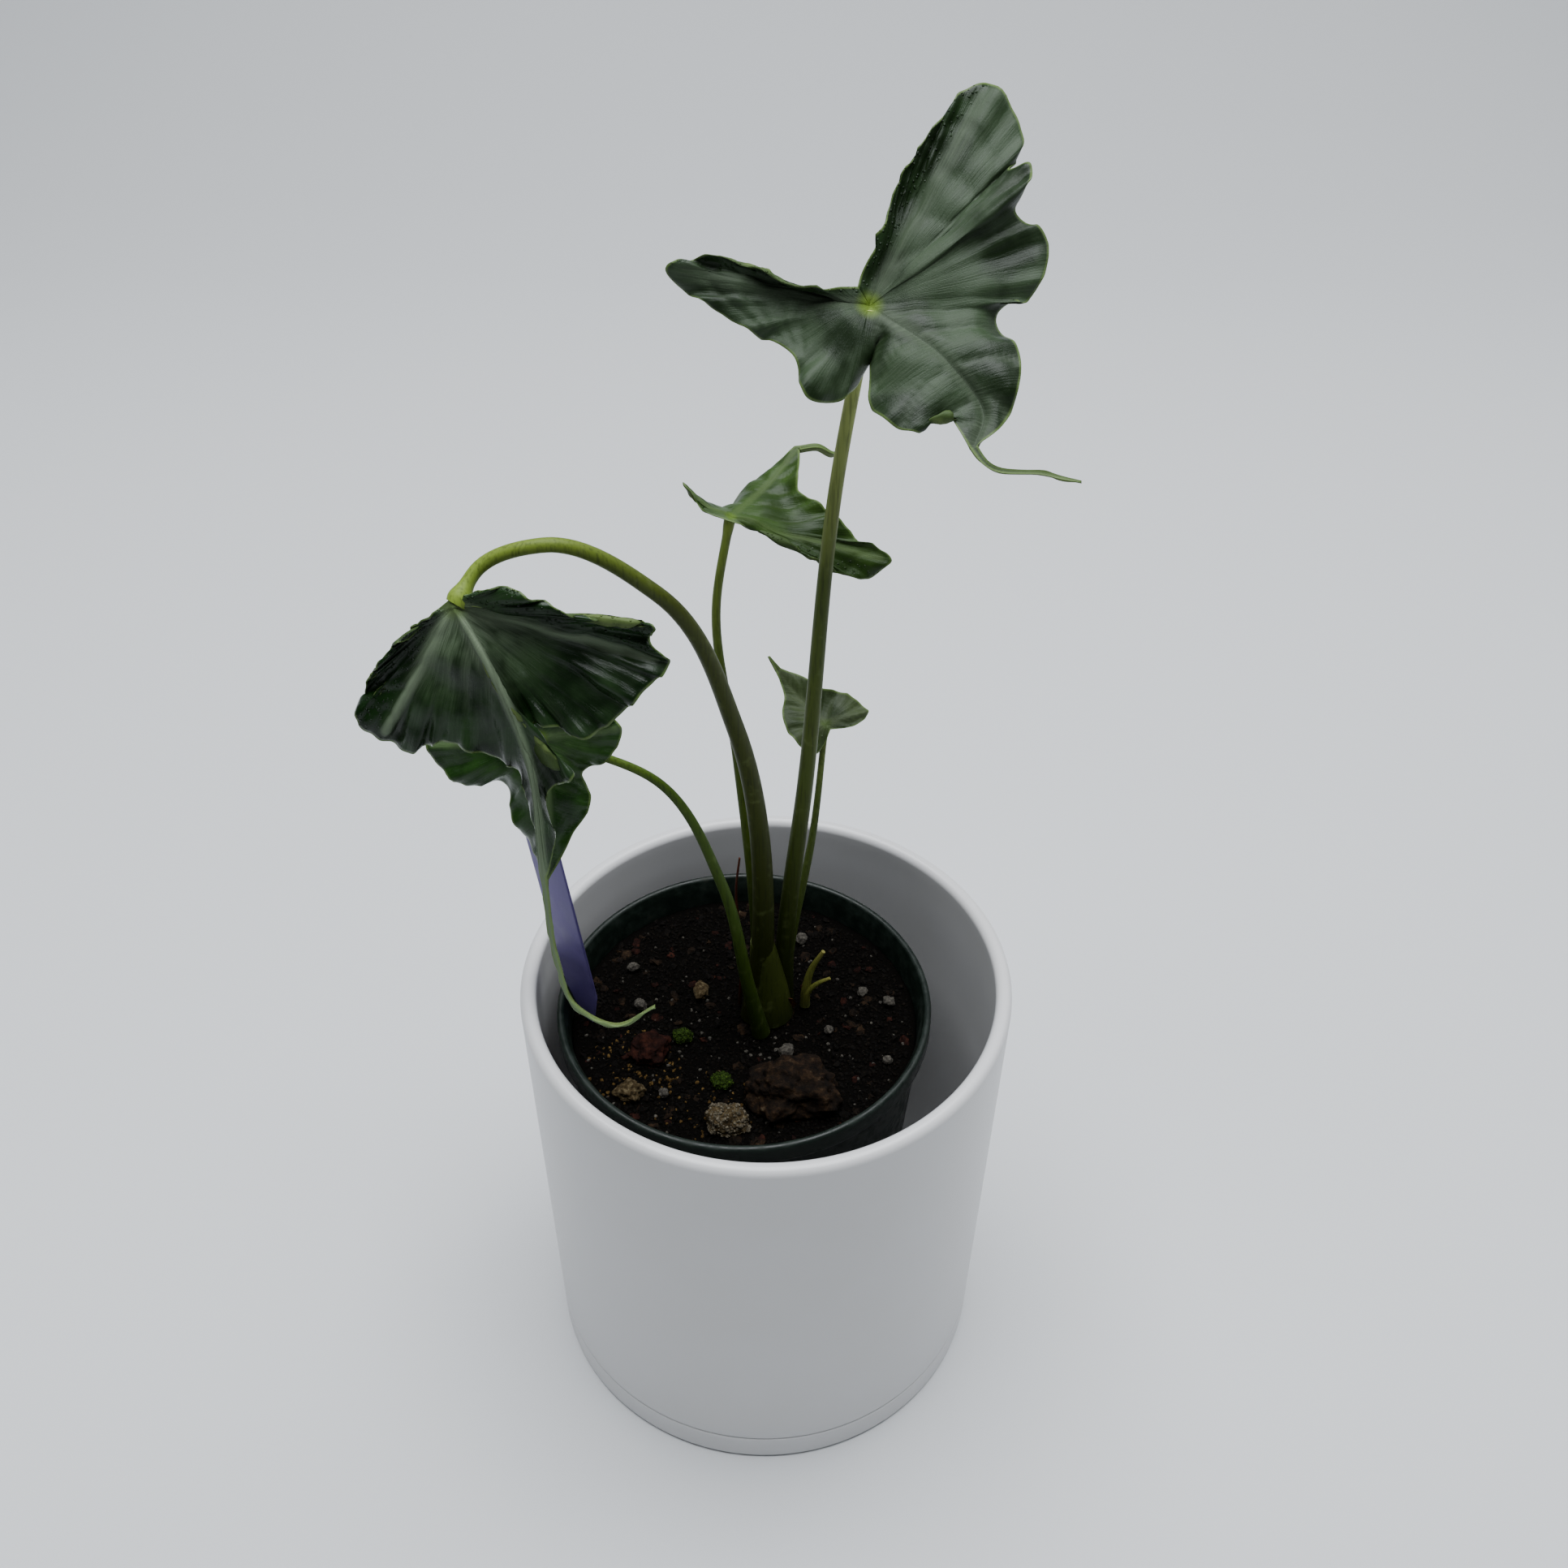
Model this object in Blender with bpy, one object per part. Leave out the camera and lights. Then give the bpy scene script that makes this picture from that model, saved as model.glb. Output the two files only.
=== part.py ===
"""A potted alocasia: a plant with five twisted arrow-shaped leaves on long stems, rooted in a
nursery pot that stands inside a round cover pot with a flush drip saucer.

The origin is the middle of the saucer's underside, on the table. +Z is up and -Y is the side that
faces the viewer. Sizes are in millimetres and become metres where each mesh is made.
"""

import math

import bmesh
import bpy
from mathutils import Matrix, Vector, noise

MM = 0.001

# ---- Driving sizes, in millimetres ----
GAP = 0.3  # between pieces that rest on or beside each other

POT_HEIGHT = 145.0
POT_RIM_RADIUS = 70.0
POT_BASE_RADIUS = 68.25
POT_WALL = 4.6
POT_FLOOR = 4.5
DRAIN_HOLE_RADIUS = 8.0

SAUCER_HEIGHT = 10.5
SAUCER_WALL = 3.0
SAUCER_FLOOR = 3.0
SEAM_GAP = 0.4  # the dark line between the saucer and the cover pot
FOOT_INSET = 3.5  # between the pot's stepped foot and the saucer's wall

NURSERY_HEIGHT = 124.3
NURSERY_RIM_CLEARANCE = 11.0  # mean gap between the nursery pot's rim and the cover pot
NURSERY_TAPER = 9.0  # how much narrower the base is than the rim
NURSERY_WALL = 1.2
NURSERY_LIP_WIDTH = 1.8
NURSERY_LIP_DEPTH = 6.0
NURSERY_DRAIN_RADIUS = 6.0  # the hole in the middle of its floor
NURSERY_HOLE_RADIUS = 4.5  # the holes round it
NURSERY_HOLE_INSET = 12.0  # their centres, in from the base's edge
NURSERY_HOLES = 6
NURSERY_X = -6.4
NURSERY_Y = 1.3

SOIL_BELOW_RIM = 8.4
SOIL_ROUGHNESS = 1.4
SOIL_RINGS = 6
POCKET_OVERSHOOT = 6.0  # how far a pocket's cutter stands out of the soil

CORM_RADIUS = 9.6
CORM_HEIGHT = 25.0
CORM_ABOVE_SOIL = 0.8
CORM_X = 0.9
CORM_Y = 4.4

STEM_THICKNESS = 1.0  # 1 is the grown size; every stem's diameter follows it
STEM_LIFT = 0.9  # between the corm and the stems' tilted feet
STEM_SIDES_RESOLUTION = 2
STEM_POINTS_PER_SPAN = 5
FOOT_SWELL = 0.15  # how much wider a stem is at its very foot, as a share
FOOT_REACH = 15.0  # how far up that swelling fades
STEM_SLANT = 0.27  # share of a stem's end that its slant brings nearer to the leaf

BRACT_CLEARANCE = 0.6  # between the bract and the stem that it clasps
BRACT_THICKNESS = 0.7
BRACT_HEIGHT = 6.5
BRACT_SIDE_HEIGHT = 2.0
BRACT_FLARE = 0.9  # how far its top leans out
BRACT_START = -105.0  # degrees
BRACT_SPAN = 70.0  # degrees

BLADE_THICKNESS = 0.8
MIDRIB_THICKNESS = 1.9
MIDRIB_REACH = 2.2  # how far from the midrib the blade is thicker
TAIL_HALF_WIDTH = 0.8
JOINT_GAP = 0.5  # between a leaf's underside and the nearest edge of its stem's end
STEPS_ACROSS_BLADE = 4
MARGIN_STEPS = 2  # between two points of a leaf's outline
FRONT_RIBS = 10
RIB_GATHER = 1.3  # above 1, the front ribs leave the midrib closer together near the joint

LABEL_WIDTH = 12.0
LABEL_LENGTH = 80.0
LABEL_THICKNESS = 0.8
LABEL_POINT = 18.0
LABEL_DEPTH = 6.0  # how far its point is pushed into the soil
LABEL_LEAN = 5.0  # degrees, towards the rim
LABEL_TURN = -38.0  # degrees about its own length
LABEL_RIM_CLEARANCE = 6.8

# ---- Sizes that follow ----
saucer_rim = SAUCER_HEIGHT
pot_bottom = SAUCER_HEIGHT + SEAM_GAP
foot_bottom = SAUCER_FLOOR + GAP
pot_floor_top = foot_bottom + POT_FLOOR
nursery_bottom = pot_floor_top + GAP
nursery_top = nursery_bottom + NURSERY_HEIGHT
nursery_rim_radius = POT_RIM_RADIUS - POT_WALL - NURSERY_RIM_CLEARANCE
nursery_body_radius = nursery_rim_radius - NURSERY_LIP_WIDTH
nursery_base_radius = nursery_body_radius - NURSERY_TAPER
soil_top = nursery_top - SOIL_BELOW_RIM


def pot_radius(z):
    """The cover pot's outer radius at a height: a slight widening from the table to the rim."""
    return POT_BASE_RADIUS + (POT_RIM_RADIUS - POT_BASE_RADIUS) * z / POT_HEIGHT


def nursery_radius(z):
    """The nursery pot's outer radius below its lip."""
    share = (z - nursery_bottom) / NURSERY_HEIGHT
    return nursery_base_radius + (nursery_body_radius - nursery_base_radius) * share


soil_radius = nursery_radius(soil_top) - NURSERY_WALL - GAP


# ---- Start from an empty scene ----
for old in list(bpy.data.objects):
    bpy.data.objects.remove(old, do_unlink=True)

plant = bpy.data.objects.new("potted_alocasia", None)
bpy.context.scene.collection.objects.link(plant)


# ---- Helpers ----
def material(name, colour, roughness):
    """A Principled material; each piece has its own."""
    made = bpy.data.materials.new(name)
    made.use_nodes = True
    shader = made.node_tree.nodes["Principled BSDF"]
    shader.inputs["Base Color"].default_value = (*colour, 1.0)
    shader.inputs["Roughness"].default_value = roughness
    return made


def add(name, data, colour, roughness):
    """Puts a mesh or curve in the scene as one named piece of the plant."""
    piece = bpy.data.objects.new(name, data)
    bpy.context.scene.collection.objects.link(piece)
    piece.parent = plant
    data.materials.append(material(name, colour, roughness))
    return piece


def mesh_from(bm, name, sharp_angle=35.0):
    """Closes off a bmesh made in millimetres: merged, facing out, smooth, in metres."""
    bmesh.ops.remove_doubles(bm, verts=bm.verts, dist=0.001)
    bmesh.ops.recalc_face_normals(bm, faces=bm.faces)
    bmesh.ops.scale(bm, vec=(MM, MM, MM), verts=bm.verts)
    mesh = bpy.data.meshes.new(name)
    bm.to_mesh(mesh)
    bm.free()
    mesh.shade_smooth()
    mesh.set_sharp_from_angle(angle=math.radians(sharp_angle))
    return mesh


def turned(profile, segments=56, closed=False):
    """Spins a profile of (radius, height) points round the Z axis. A closed profile is a loop
    that stays off the axis; an open one starts and ends on it."""
    bm = bmesh.new()
    points = [bm.verts.new((radius, 0.0, height)) for radius, height in profile]
    edges = [bm.edges.new(pair) for pair in zip(points, points[1:])]
    if closed:
        edges.append(bm.edges.new((points[-1], points[0])))
    bmesh.ops.spin(bm, geom=points + edges, axis=(0, 0, 1), cent=(0, 0, 0),
                   angle=math.tau, steps=segments, use_merge=True)
    return bm


def arc(centre, radius, start, end, steps):
    """Points (radius, height) along an arc; angles in degrees from straight out."""
    points = []
    for i in range(steps + 1):
        angle = math.radians(start + (end - start) * i / steps)
        points.append((centre[0] + radius * math.cos(angle), centre[1] + radius * math.sin(angle)))
    return points


def smooth_path(points, per_span):
    """A smooth curve through points of any dimension, with per_span steps between neighbours. A
    point's slope weighs both its neighbours by their distance, so uneven points make no bulge."""
    points = [Vector(point) for point in points]
    steps = [there - here for here, there in zip(points, points[1:])]
    gaps = [step.length for step in steps]
    slopes = [steps[0] / gaps[0]]
    for before, after, gap_before, gap_after in zip(steps, steps[1:], gaps, gaps[1:]):
        leaning = before * (gap_after / gap_before) + after * (gap_before / gap_after)
        slopes.append(leaning / (gap_before + gap_after))
    slopes.append(steps[-1] / gaps[-1])
    path = []
    for i, gap in enumerate(gaps):
        for step in range(per_span):
            t = step / per_span
            path.append(points[i] * ((1 + 2 * t) * (1 - t) ** 2)
                        + slopes[i] * (gap * t * (1 - t) ** 2)
                        + points[i + 1] * (t * t * (3 - 2 * t))
                        + slopes[i + 1] * (gap * t * t * (t - 1)))
    path.append(points[-1])
    return path


def on_soil(x, y, height):
    """Heights of the plant's pieces are counted from the middle of the soil's surface."""
    return Vector((x, y, soil_top + height))


def across_soil(angle, share):
    """A place on the soil, by its direction from the nursery pot's middle and its share of the
    way to the wall."""
    turn = math.radians(angle)
    return (NURSERY_X + soil_radius * share * math.cos(turn),
            NURSERY_Y + soil_radius * share * math.sin(turn))


def cut(piece, cutter, name):
    """Takes the cutter's shape out of the piece."""
    cutter.hide_render = True
    cutter.display_type = "WIRE"
    boolean = piece.modifiers.new(name, "BOOLEAN")
    boolean.operation = "DIFFERENCE"
    boolean.solver = "EXACT"
    boolean.object = cutter


def move(bm, x, y, z=0.0):
    bmesh.ops.translate(bm, vec=(x, y, z), verts=bm.verts)


# ---- The cover pot and its saucer ----
def drip_saucer():
    """A shallow tray whose wall carries on the line of the pot above it."""
    inside = pot_radius(saucer_rim) - SAUCER_WALL
    profile = [
        (0.0, 0.0),
        (pot_radius(0.0) - 1.2, 0.0),
        (pot_radius(1.2), 1.2),
        (pot_radius(saucer_rim), saucer_rim),
        (inside, saucer_rim),
        (inside, SAUCER_FLOOR),
        (0.0, SAUCER_FLOOR),
    ]
    add("drip_saucer", mesh_from(turned(profile), "drip_saucer"), (0.74, 0.74, 0.73), 0.5)


def cover_pot():
    """A plain white pot with a rounded lip, a drained floor and a foot that steps into the saucer."""
    foot = pot_radius(saucer_rim) - SAUCER_WALL - FOOT_INSET
    lip = POT_WALL / 2
    lip_centre = (POT_RIM_RADIUS - lip, POT_HEIGHT - lip)
    inside_floor = pot_radius(pot_floor_top) - POT_WALL
    fillet = 3.0
    profile = [
        (DRAIN_HOLE_RADIUS, foot_bottom),
        (foot - 0.8, foot_bottom),
        (foot, foot_bottom + 0.8),
        (foot, pot_bottom),
        (pot_radius(pot_bottom), pot_bottom),
        (pot_radius(POT_HEIGHT / 2), POT_HEIGHT / 2),
        *arc(lip_centre, lip, 0, 180, 6),
        (pot_radius(POT_HEIGHT / 2) - POT_WALL, POT_HEIGHT / 2),
        (inside_floor, pot_floor_top + fillet),
        (inside_floor - fillet, pot_floor_top),
        (DRAIN_HOLE_RADIUS, pot_floor_top),
    ]
    add("cover_pot", mesh_from(turned(profile, closed=True), "cover_pot"), (0.78, 0.78, 0.77), 0.45)


# ---- The nursery pot and its soil ----
def nursery_pot():
    """A thin dark green grower's pot with a rolled lip, standing to the left in the cover pot."""
    floor_top = nursery_bottom + NURSERY_WALL
    lip_bottom = nursery_top - NURSERY_LIP_DEPTH
    inner_lip = nursery_radius(nursery_top) - NURSERY_WALL
    profile = [
        (NURSERY_DRAIN_RADIUS, nursery_bottom),
        (nursery_base_radius - 1.5, nursery_bottom),
        (nursery_radius(nursery_bottom + 1.5), nursery_bottom + 1.5),
        (nursery_radius(lip_bottom), lip_bottom),
        (nursery_rim_radius, lip_bottom),
        (nursery_rim_radius, nursery_top - 0.8),
        (nursery_rim_radius - 0.8, nursery_top),
        (inner_lip + 0.5, nursery_top),
        (inner_lip, nursery_top - 0.8),
        (nursery_radius(floor_top) - NURSERY_WALL, floor_top),
        (NURSERY_DRAIN_RADIUS, floor_top),
    ]
    bm = turned(profile, segments=48, closed=True)
    move(bm, NURSERY_X, NURSERY_Y)
    pot = add("nursery_pot", mesh_from(bm, "nursery_pot"), (0.02, 0.05, 0.04), 0.4)

    holes = bmesh.new()
    ring = nursery_base_radius - NURSERY_HOLE_INSET
    for i in range(NURSERY_HOLES):
        angle = math.tau * (i + 0.5) / NURSERY_HOLES
        place = Matrix.Translation((NURSERY_X + ring * math.cos(angle),
                                    NURSERY_Y + ring * math.sin(angle), nursery_bottom))
        bmesh.ops.create_cone(holes, cap_ends=True, segments=12, radius1=NURSERY_HOLE_RADIUS,
                              radius2=NURSERY_HOLE_RADIUS, depth=8.0, matrix=place)
    cutter = add("nursery_drain_cutter", mesh_from(holes, "nursery_drain_cutter"), (1, 0, 0), 0.5)
    cut(pot, cutter, "drain_holes")


def corm_shape(clearance, top):
    """The swollen base of the plant: an egg cut flat on top. A clearance grows it all round, and
    thicker stems need a wider one."""
    radius = CORM_RADIUS * STEM_THICKNESS + clearance
    bottom = -CORM_HEIGHT - clearance
    waist = -CORM_HEIGHT * 0.45
    profile = [(0.0, bottom)]
    for degrees in (-65, -40, -15):
        turn = math.radians(degrees)
        profile.append((radius * math.cos(turn) * 1.1, waist + (waist - bottom) * math.sin(turn)))
    profile += [(radius * 1.08, waist * 0.5), (radius, -2.0), (radius, top), (0.0, top)]
    bm = turned(profile, segments=28)
    move(bm, CORM_X, CORM_Y, soil_top)
    return bm


def label_shape(clearance):
    """A plant label: a flat strip with a point at the foot, leaning on the nursery pot's rim."""
    half = LABEL_WIDTH / 2 + clearance
    thick = LABEL_THICKNESS + 2 * clearance
    corner = 1.5
    outline = [
        (0.0, -clearance * 2),
        (half, LABEL_POINT),
        (half, LABEL_LENGTH - corner),
        (half - corner, LABEL_LENGTH),
        (corner - half, LABEL_LENGTH),
        (-half, LABEL_LENGTH - corner),
        (-half, LABEL_POINT),
    ]
    bm = bmesh.new()
    face = bm.faces.new([bm.verts.new((x, -thick / 2, z)) for x, z in outline])
    swept = bmesh.ops.extrude_face_region(bm, geom=[face])
    far = [item for item in swept["geom"] if isinstance(item, bmesh.types.BMVert)]
    bmesh.ops.translate(bm, vec=(0.0, thick, 0.0), verts=far)
    foot_x = NURSERY_X - soil_radius + LABEL_RIM_CLEARANCE
    place = (Matrix.Translation((foot_x, NURSERY_Y, soil_top - LABEL_DEPTH))
             @ Matrix.Rotation(math.radians(-LABEL_LEAN), 4, "Y")
             @ Matrix.Rotation(math.radians(LABEL_TURN), 4, "Z"))
    bmesh.ops.transform(bm, matrix=place, verts=bm.verts)
    return bm


def plant_label():
    add("plant_label", mesh_from(label_shape(0.0), "plant_label"), (0.09, 0.08, 0.2), 0.45)


def potting_soil():
    """Fills the nursery pot to below its rim, uneven on top, with pockets for the corm and the
    label's point."""
    bottom = nursery_bottom + NURSERY_WALL + GAP
    lower = nursery_radius(bottom) - NURSERY_WALL - GAP
    profile = [(0.0, bottom), (lower, bottom)]
    profile += [(soil_radius * (1 - i / SOIL_RINGS), soil_top) for i in range(SOIL_RINGS + 1)]
    bm = turned(profile, segments=48)
    bmesh.ops.remove_doubles(bm, verts=bm.verts, dist=0.001)
    for vert in bm.verts:
        if vert.co.z > soil_top - 0.01:
            vert.co.z -= SOIL_ROUGHNESS * (0.5 + 0.5 * noise.noise(vert.co / 9.0))
    move(bm, NURSERY_X, NURSERY_Y)
    soil = add("potting_soil", mesh_from(bm, "potting_soil"), (0.02, 0.016, 0.012), 0.95)
    corm_hole = corm_shape(GAP, POCKET_OVERSHOOT)
    corm_pocket = add("corm_cutter", mesh_from(corm_hole, "corm_cutter"), (1, 0, 0), 0.5)
    label_slot = add("label_cutter", mesh_from(label_shape(GAP), "label_cutter"), (1, 0, 0), 0.5)
    cut(soil, corm_pocket, "corm_pocket")
    cut(soil, label_slot, "label_slot")


# ---- The crown ----
def corm():
    add("corm", mesh_from(corm_shape(0.0, CORM_ABOVE_SOIL), "corm"), (0.12, 0.07, 0.03), 0.8)


def stem(name, foot, bends, end, base, tip, colour):
    """A round stem on a smooth route from the crown through its bends. It narrows evenly from its
    base's diameter to its tip's, and is a little swollen at the foot."""
    route = [spread(*foot, STEM_FOOT)] + [spread(*bend) for bend in bends] + [spread(*end)]
    path = smooth_path(route, STEM_POINTS_PER_SPAN)
    lengths = [0.0]
    for here, there in zip(path, path[1:]):
        lengths.append(lengths[-1] + (there - here).length)
    curve = bpy.data.curves.new(name, "CURVE")
    curve.dimensions = "3D"
    curve.bevel_depth = MM
    curve.bevel_resolution = STEM_SIDES_RESOLUTION
    curve.use_fill_caps = True
    spline = curve.splines.new("POLY")
    spline.points.add(len(path) - 1)
    for point, place, length in zip(spline.points, path, lengths):
        swell = 1 + FOOT_SWELL * math.exp(-place.z / FOOT_REACH)
        diameter = swell * (base + (tip - base) * length / lengths[-1])
        point.co = (*(on_soil(*place) * MM), 1.0)
        point.radius = STEM_THICKNESS * diameter / 2
    add(name, curve, colour, 0.45)


STEM_FOOT = CORM_ABOVE_SOIL + STEM_LIFT
CROWN_HEIGHT = 90.0  # up to here thicker stems also stand further apart


def spread(x, y, height):
    """Moves a point of the crown out from the corm's middle by as much as the stems thicken."""
    share = 1 + (STEM_THICKNESS - 1) * max(0.0, 1 - height / CROWN_HEIGHT)
    return (CORM_X + (x - CORM_X) * share, CORM_Y + (y - CORM_Y) * share, height)


# A stem has its foot's (x, y) on the corm, its bends as (x, y, height above the soil), and its
# diameters at base and tip. It ends behind its leaf's joint.
STEMS = {
    "stem_top": {"foot": (4.6, 6.6), "bends": [(5.5, 6.5, 30), (10, 6.5, 85), (16, 8, 176)],
                 "base": 6.0, "tip": 3.5},
    "stem_drooping": {"foot": (-3, 2.4), "base": 7.6, "tip": 3.4,
                      "bends": [(-1, 3, 35), (-8, -2, 110), (-25, -13, 156), (-48, -21, 173),
                                (-62, -22, 168)]},
    "stem_low": {"foot": (-1.6, -4.6), "bends": [(-5, -5.5, 20), (-12, -6.5, 61), (-27, -7, 96)],
                 "base": 4.6, "tip": 2.2},
    "stem_back": {"foot": (-2.4, 10.4), "bends": [(-3, 12, 25), (-8, 17, 85), (-13, 22, 130)],
                  "base": 3.5, "tip": 2.2},
    "stem_small": {"foot": (5, 12.6), "bends": [(7, 13.5, 20), (13, 20, 57)],
                   "base": 3.3, "tip": 1.7},
}


# ---- Leaves ----
# A leaf has its own frame: its origin is where the stem joins it, y runs along the midrib towards
# the tip, z points out of its upper face, and x is y cross z. Each half of its outline starts at
# the notch above the stem. The lobe's points go round the back lobe, whose ribs all fan out from
# the joint, and the front's points go on to the tail's root. A point is (x, y, z, belly), where
# belly bows its rib up from flat.
LEAVES = {
    "leaf_top": {
        "joint": (21, 4, 216), "along": (0.55, -0.6, -0.55), "face": (-0.1, -0.7, 0.7),
        "midrib": [(0, 0, 0), (-6, 20, 2), (-6, 33, 0), (0, 38, 3)],
        "tail": [(0, 42, 3), (-9, 50, 0), (-14, 56, 1)],
        "notch": (0, -4, 2),
        "minus_x": {
            "lobe": [(-15, -14, 5, 0), (-34, -22, 2, -2), (-45, -22, -1, 0), (-43, -8, -2, 4),
                     (-36, -1, 3, 0), (-38, 8, -4, -3), (-29, 17, -3, 4)],
            "front": [(-22, 16, -6, 0), (-20, 26, -1, 3), (-8, 37, 0, 2)],
        },
        "plus_x": {
            "lobe": [(8, -8, 4, 0), (22, -28, 2, -2), (30, -32, 0, -1), (25, -15, -2, 3),
                     (19, 0, -1, 2), (22, 9, 1, 2), (14, 13, -3, 2)],
            "front": [(4, 7, -4, 0), (12, 18, 1, 4), (9, 28, 3, 3), (1, 29, 3, 1)],
        },
    },
    "leaf_drooping": {
        "joint": (-67, -28, 162), "along": (0.2, -0.2, -0.95), "face": (-0.05, -1.0, 0.2),
        "midrib": [(0, 0, 0), (-4, 10, 4), (-7, 35, 4), (-2, 67, 3)],
        "tail": [(1, 90, 3), (0, 104, 3), (-8, 111, 3), (-19, 107, 3)],
        "notch": (0, -2, 0),
        "minus_x": {
            "lobe": [(-12, -3, 2, 2), (-26, 6, 2, 1), (-40, 15, -2, -2), (-38, 25, 0, -4),
                     (-31, 30, -1, -4)],
            "front": [(-21, 34, 3, -2), (-10, 29, 2, 0), (-9, 38, 1, 0), (-16, 42, 5, 0),
                      (-8, 47, 1, 0), (-6, 60, 1, 0)],
        },
        "plus_x": {
            "lobe": [(10, 3, 1, 0), (22, 11, 0, 0), (28, 21, -3, 1), (22, 31, -1, 3)],
            "front": [(11, 30, 2, 2), (4, 34, 2, 0), (-1, 39, 1, 0), (-3, 50, 1, 0)],
        },
    },
    "leaf_low": {
        "joint": (-55, -13, 115), "along": (0.0, -0.3, -0.95), "face": (-0.05, -0.95, 0.3),
        "midrib": [(0, 0, 0), (-2, 14, 3), (0, 37, 2)],
        "tail": [(0, 48, 0)],
        "notch": (0, -3, 0),
        "minus_x": {
            "lobe": [(-9, -8, 2, 1), (-20, -3, 0, 0), (-15, 7, -3, 1)],
            "front": [(-10, 10, -4, 1), (-12, 15, -1, 2), (-7, 26, -1, 2)],
        },
        "plus_x": {
            "lobe": [(12, -3, 1, 1), (28, 2, -1, 1), (19, 13, 0, 4)],
            "front": [(9, 14, -2, 2), (8, 20, 0, 2), (3, 30, -1, 1)],
        },
    },
    "leaf_back": {
        "joint": (-9, 22, 156), "along": (0.5, 0.85, 0.1), "face": (0.3, -0.25, 0.9),
        "midrib": [(0, 0, 0), (0, 20, -2), (1, 29, 1)],
        "tail": [(6, 31, 4), (6, 40, 4)],
        "notch": (0, -2, 0),
        "minus_x": {
            "lobe": [(-7, -3, 0, 0), (-14, -1, 1, 0), (-9, 5, -8, 0)],
            "front": [(-6, 10, -10, 0), (-4, 20, -8, 0)],
        },
        "plus_x": {
            "lobe": [(8, 2, -1, 0), (24, 6, -1, -1), (34, 12, -4, 0), (37, 19, 0, -1),
                     (26, 17, 2, -2)],
            "front": [(16, 18, 3, -3), (8, 19, 2, -1), (4, 26, 2, 0)],
        },
    },
    "leaf_small": {
        "joint": (16, 30, 87), "along": (-0.65, 0.6, 0.45), "face": (0.1, -0.55, 0.85),
        "midrib": [(0, 0, 0), (0, 9, -1), (0, 20, 1)],
        "tail": [(0, 24, 3)],
        "notch": (0, -2, 0),
        "minus_x": {
            "lobe": [(-7, -5, -2, 0), (-10, 1, 0, 2)],
            "front": [(-8, 9, 0, 1), (-3, 14, -1, 0)],
        },
        "plus_x": {
            "lobe": [(5, -5, 0, 0), (12, -5, -1, 1), (10, 3, 1, -1)],
            "front": [(6, 9, 0, -2), (4, 15, 0, 1)],
        },
    },
}

LEAF_COLOURS = {
    "leaf_top": (0.13, 0.19, 0.13),
    "leaf_drooping": (0.03, 0.07, 0.035),
    "leaf_low": (0.03, 0.08, 0.03),
    "leaf_back": (0.08, 0.16, 0.06),
    "leaf_small": (0.12, 0.18, 0.12),
}
STEM_COLOURS = {
    "stem_top": (0.10, 0.13, 0.05),
    "stem_drooping": (0.07, 0.09, 0.03),
    "stem_low": (0.08, 0.13, 0.04),
    "stem_back": (0.10, 0.16, 0.04),
    "stem_small": (0.10, 0.16, 0.05),
}


def leaf_frame(leaf):
    """The leaf's own axes as a matrix, in millimetres: columns x, y, z and the joint."""
    y_axis = Vector(leaf["along"]).normalized()
    z_axis = Vector(leaf["face"])
    z_axis = (z_axis - z_axis.dot(y_axis) * y_axis).normalized()
    x_axis = y_axis.cross(z_axis)
    frame = Matrix((x_axis, y_axis, z_axis)).transposed().to_4x4()
    frame.translation = on_soil(*leaf["joint"])
    return frame


def along_path(path, share):
    """The point a share of the way along a list of points that are evenly spread in share."""
    place = share * (len(path) - 1)
    first = min(int(place), len(path) - 2)
    return path[first].lerp(path[first + 1], place - first)


def ribs_of(leaf):
    """Both halves' ribs as lists of (root, belly, edge), notch first, tail's tip last."""
    midrib = smooth_path(leaf["midrib"], 6)
    tail = smooth_path(leaf["midrib"][-1:] + leaf["tail"], 3)
    joint, end = midrib[0], midrib[-1]
    made = []
    for half, sign in ((leaf["plus_x"], 1), (leaf["minus_x"], -1)):
        tail_root = (end.x + sign * TAIL_HALF_WIDTH, end.y, end.z, 0)
        margin = smooth_path([(*leaf["notch"], 0)] + half["lobe"] + half["front"] + [tail_root],
                             MARGIN_STEPS)
        shoulder = len(half["lobe"]) * MARGIN_STEPS
        ribs = [(joint, edge[3], edge.to_3d()) for edge in margin[:shoulder + 1]]
        for i in range(1, FRONT_RIBS + 1):
            share = i / FRONT_RIBS
            edge = along_path(margin[shoulder:], share)
            ribs.append((along_path(midrib, share ** RIB_GATHER), edge[3], edge.to_3d()))
        for i in range(1, len(tail)):
            forward = (tail[i] - tail[i - 1]).normalized()
            side = forward.cross(Vector((0, 0, 1))).normalized() * sign
            width = TAIL_HALF_WIDTH * (1 - 0.6 * i / (len(tail) - 1))
            ribs.append((tail[i], 0.0, tail[i] + side * width))
        made.append(ribs)
    return made


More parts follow.
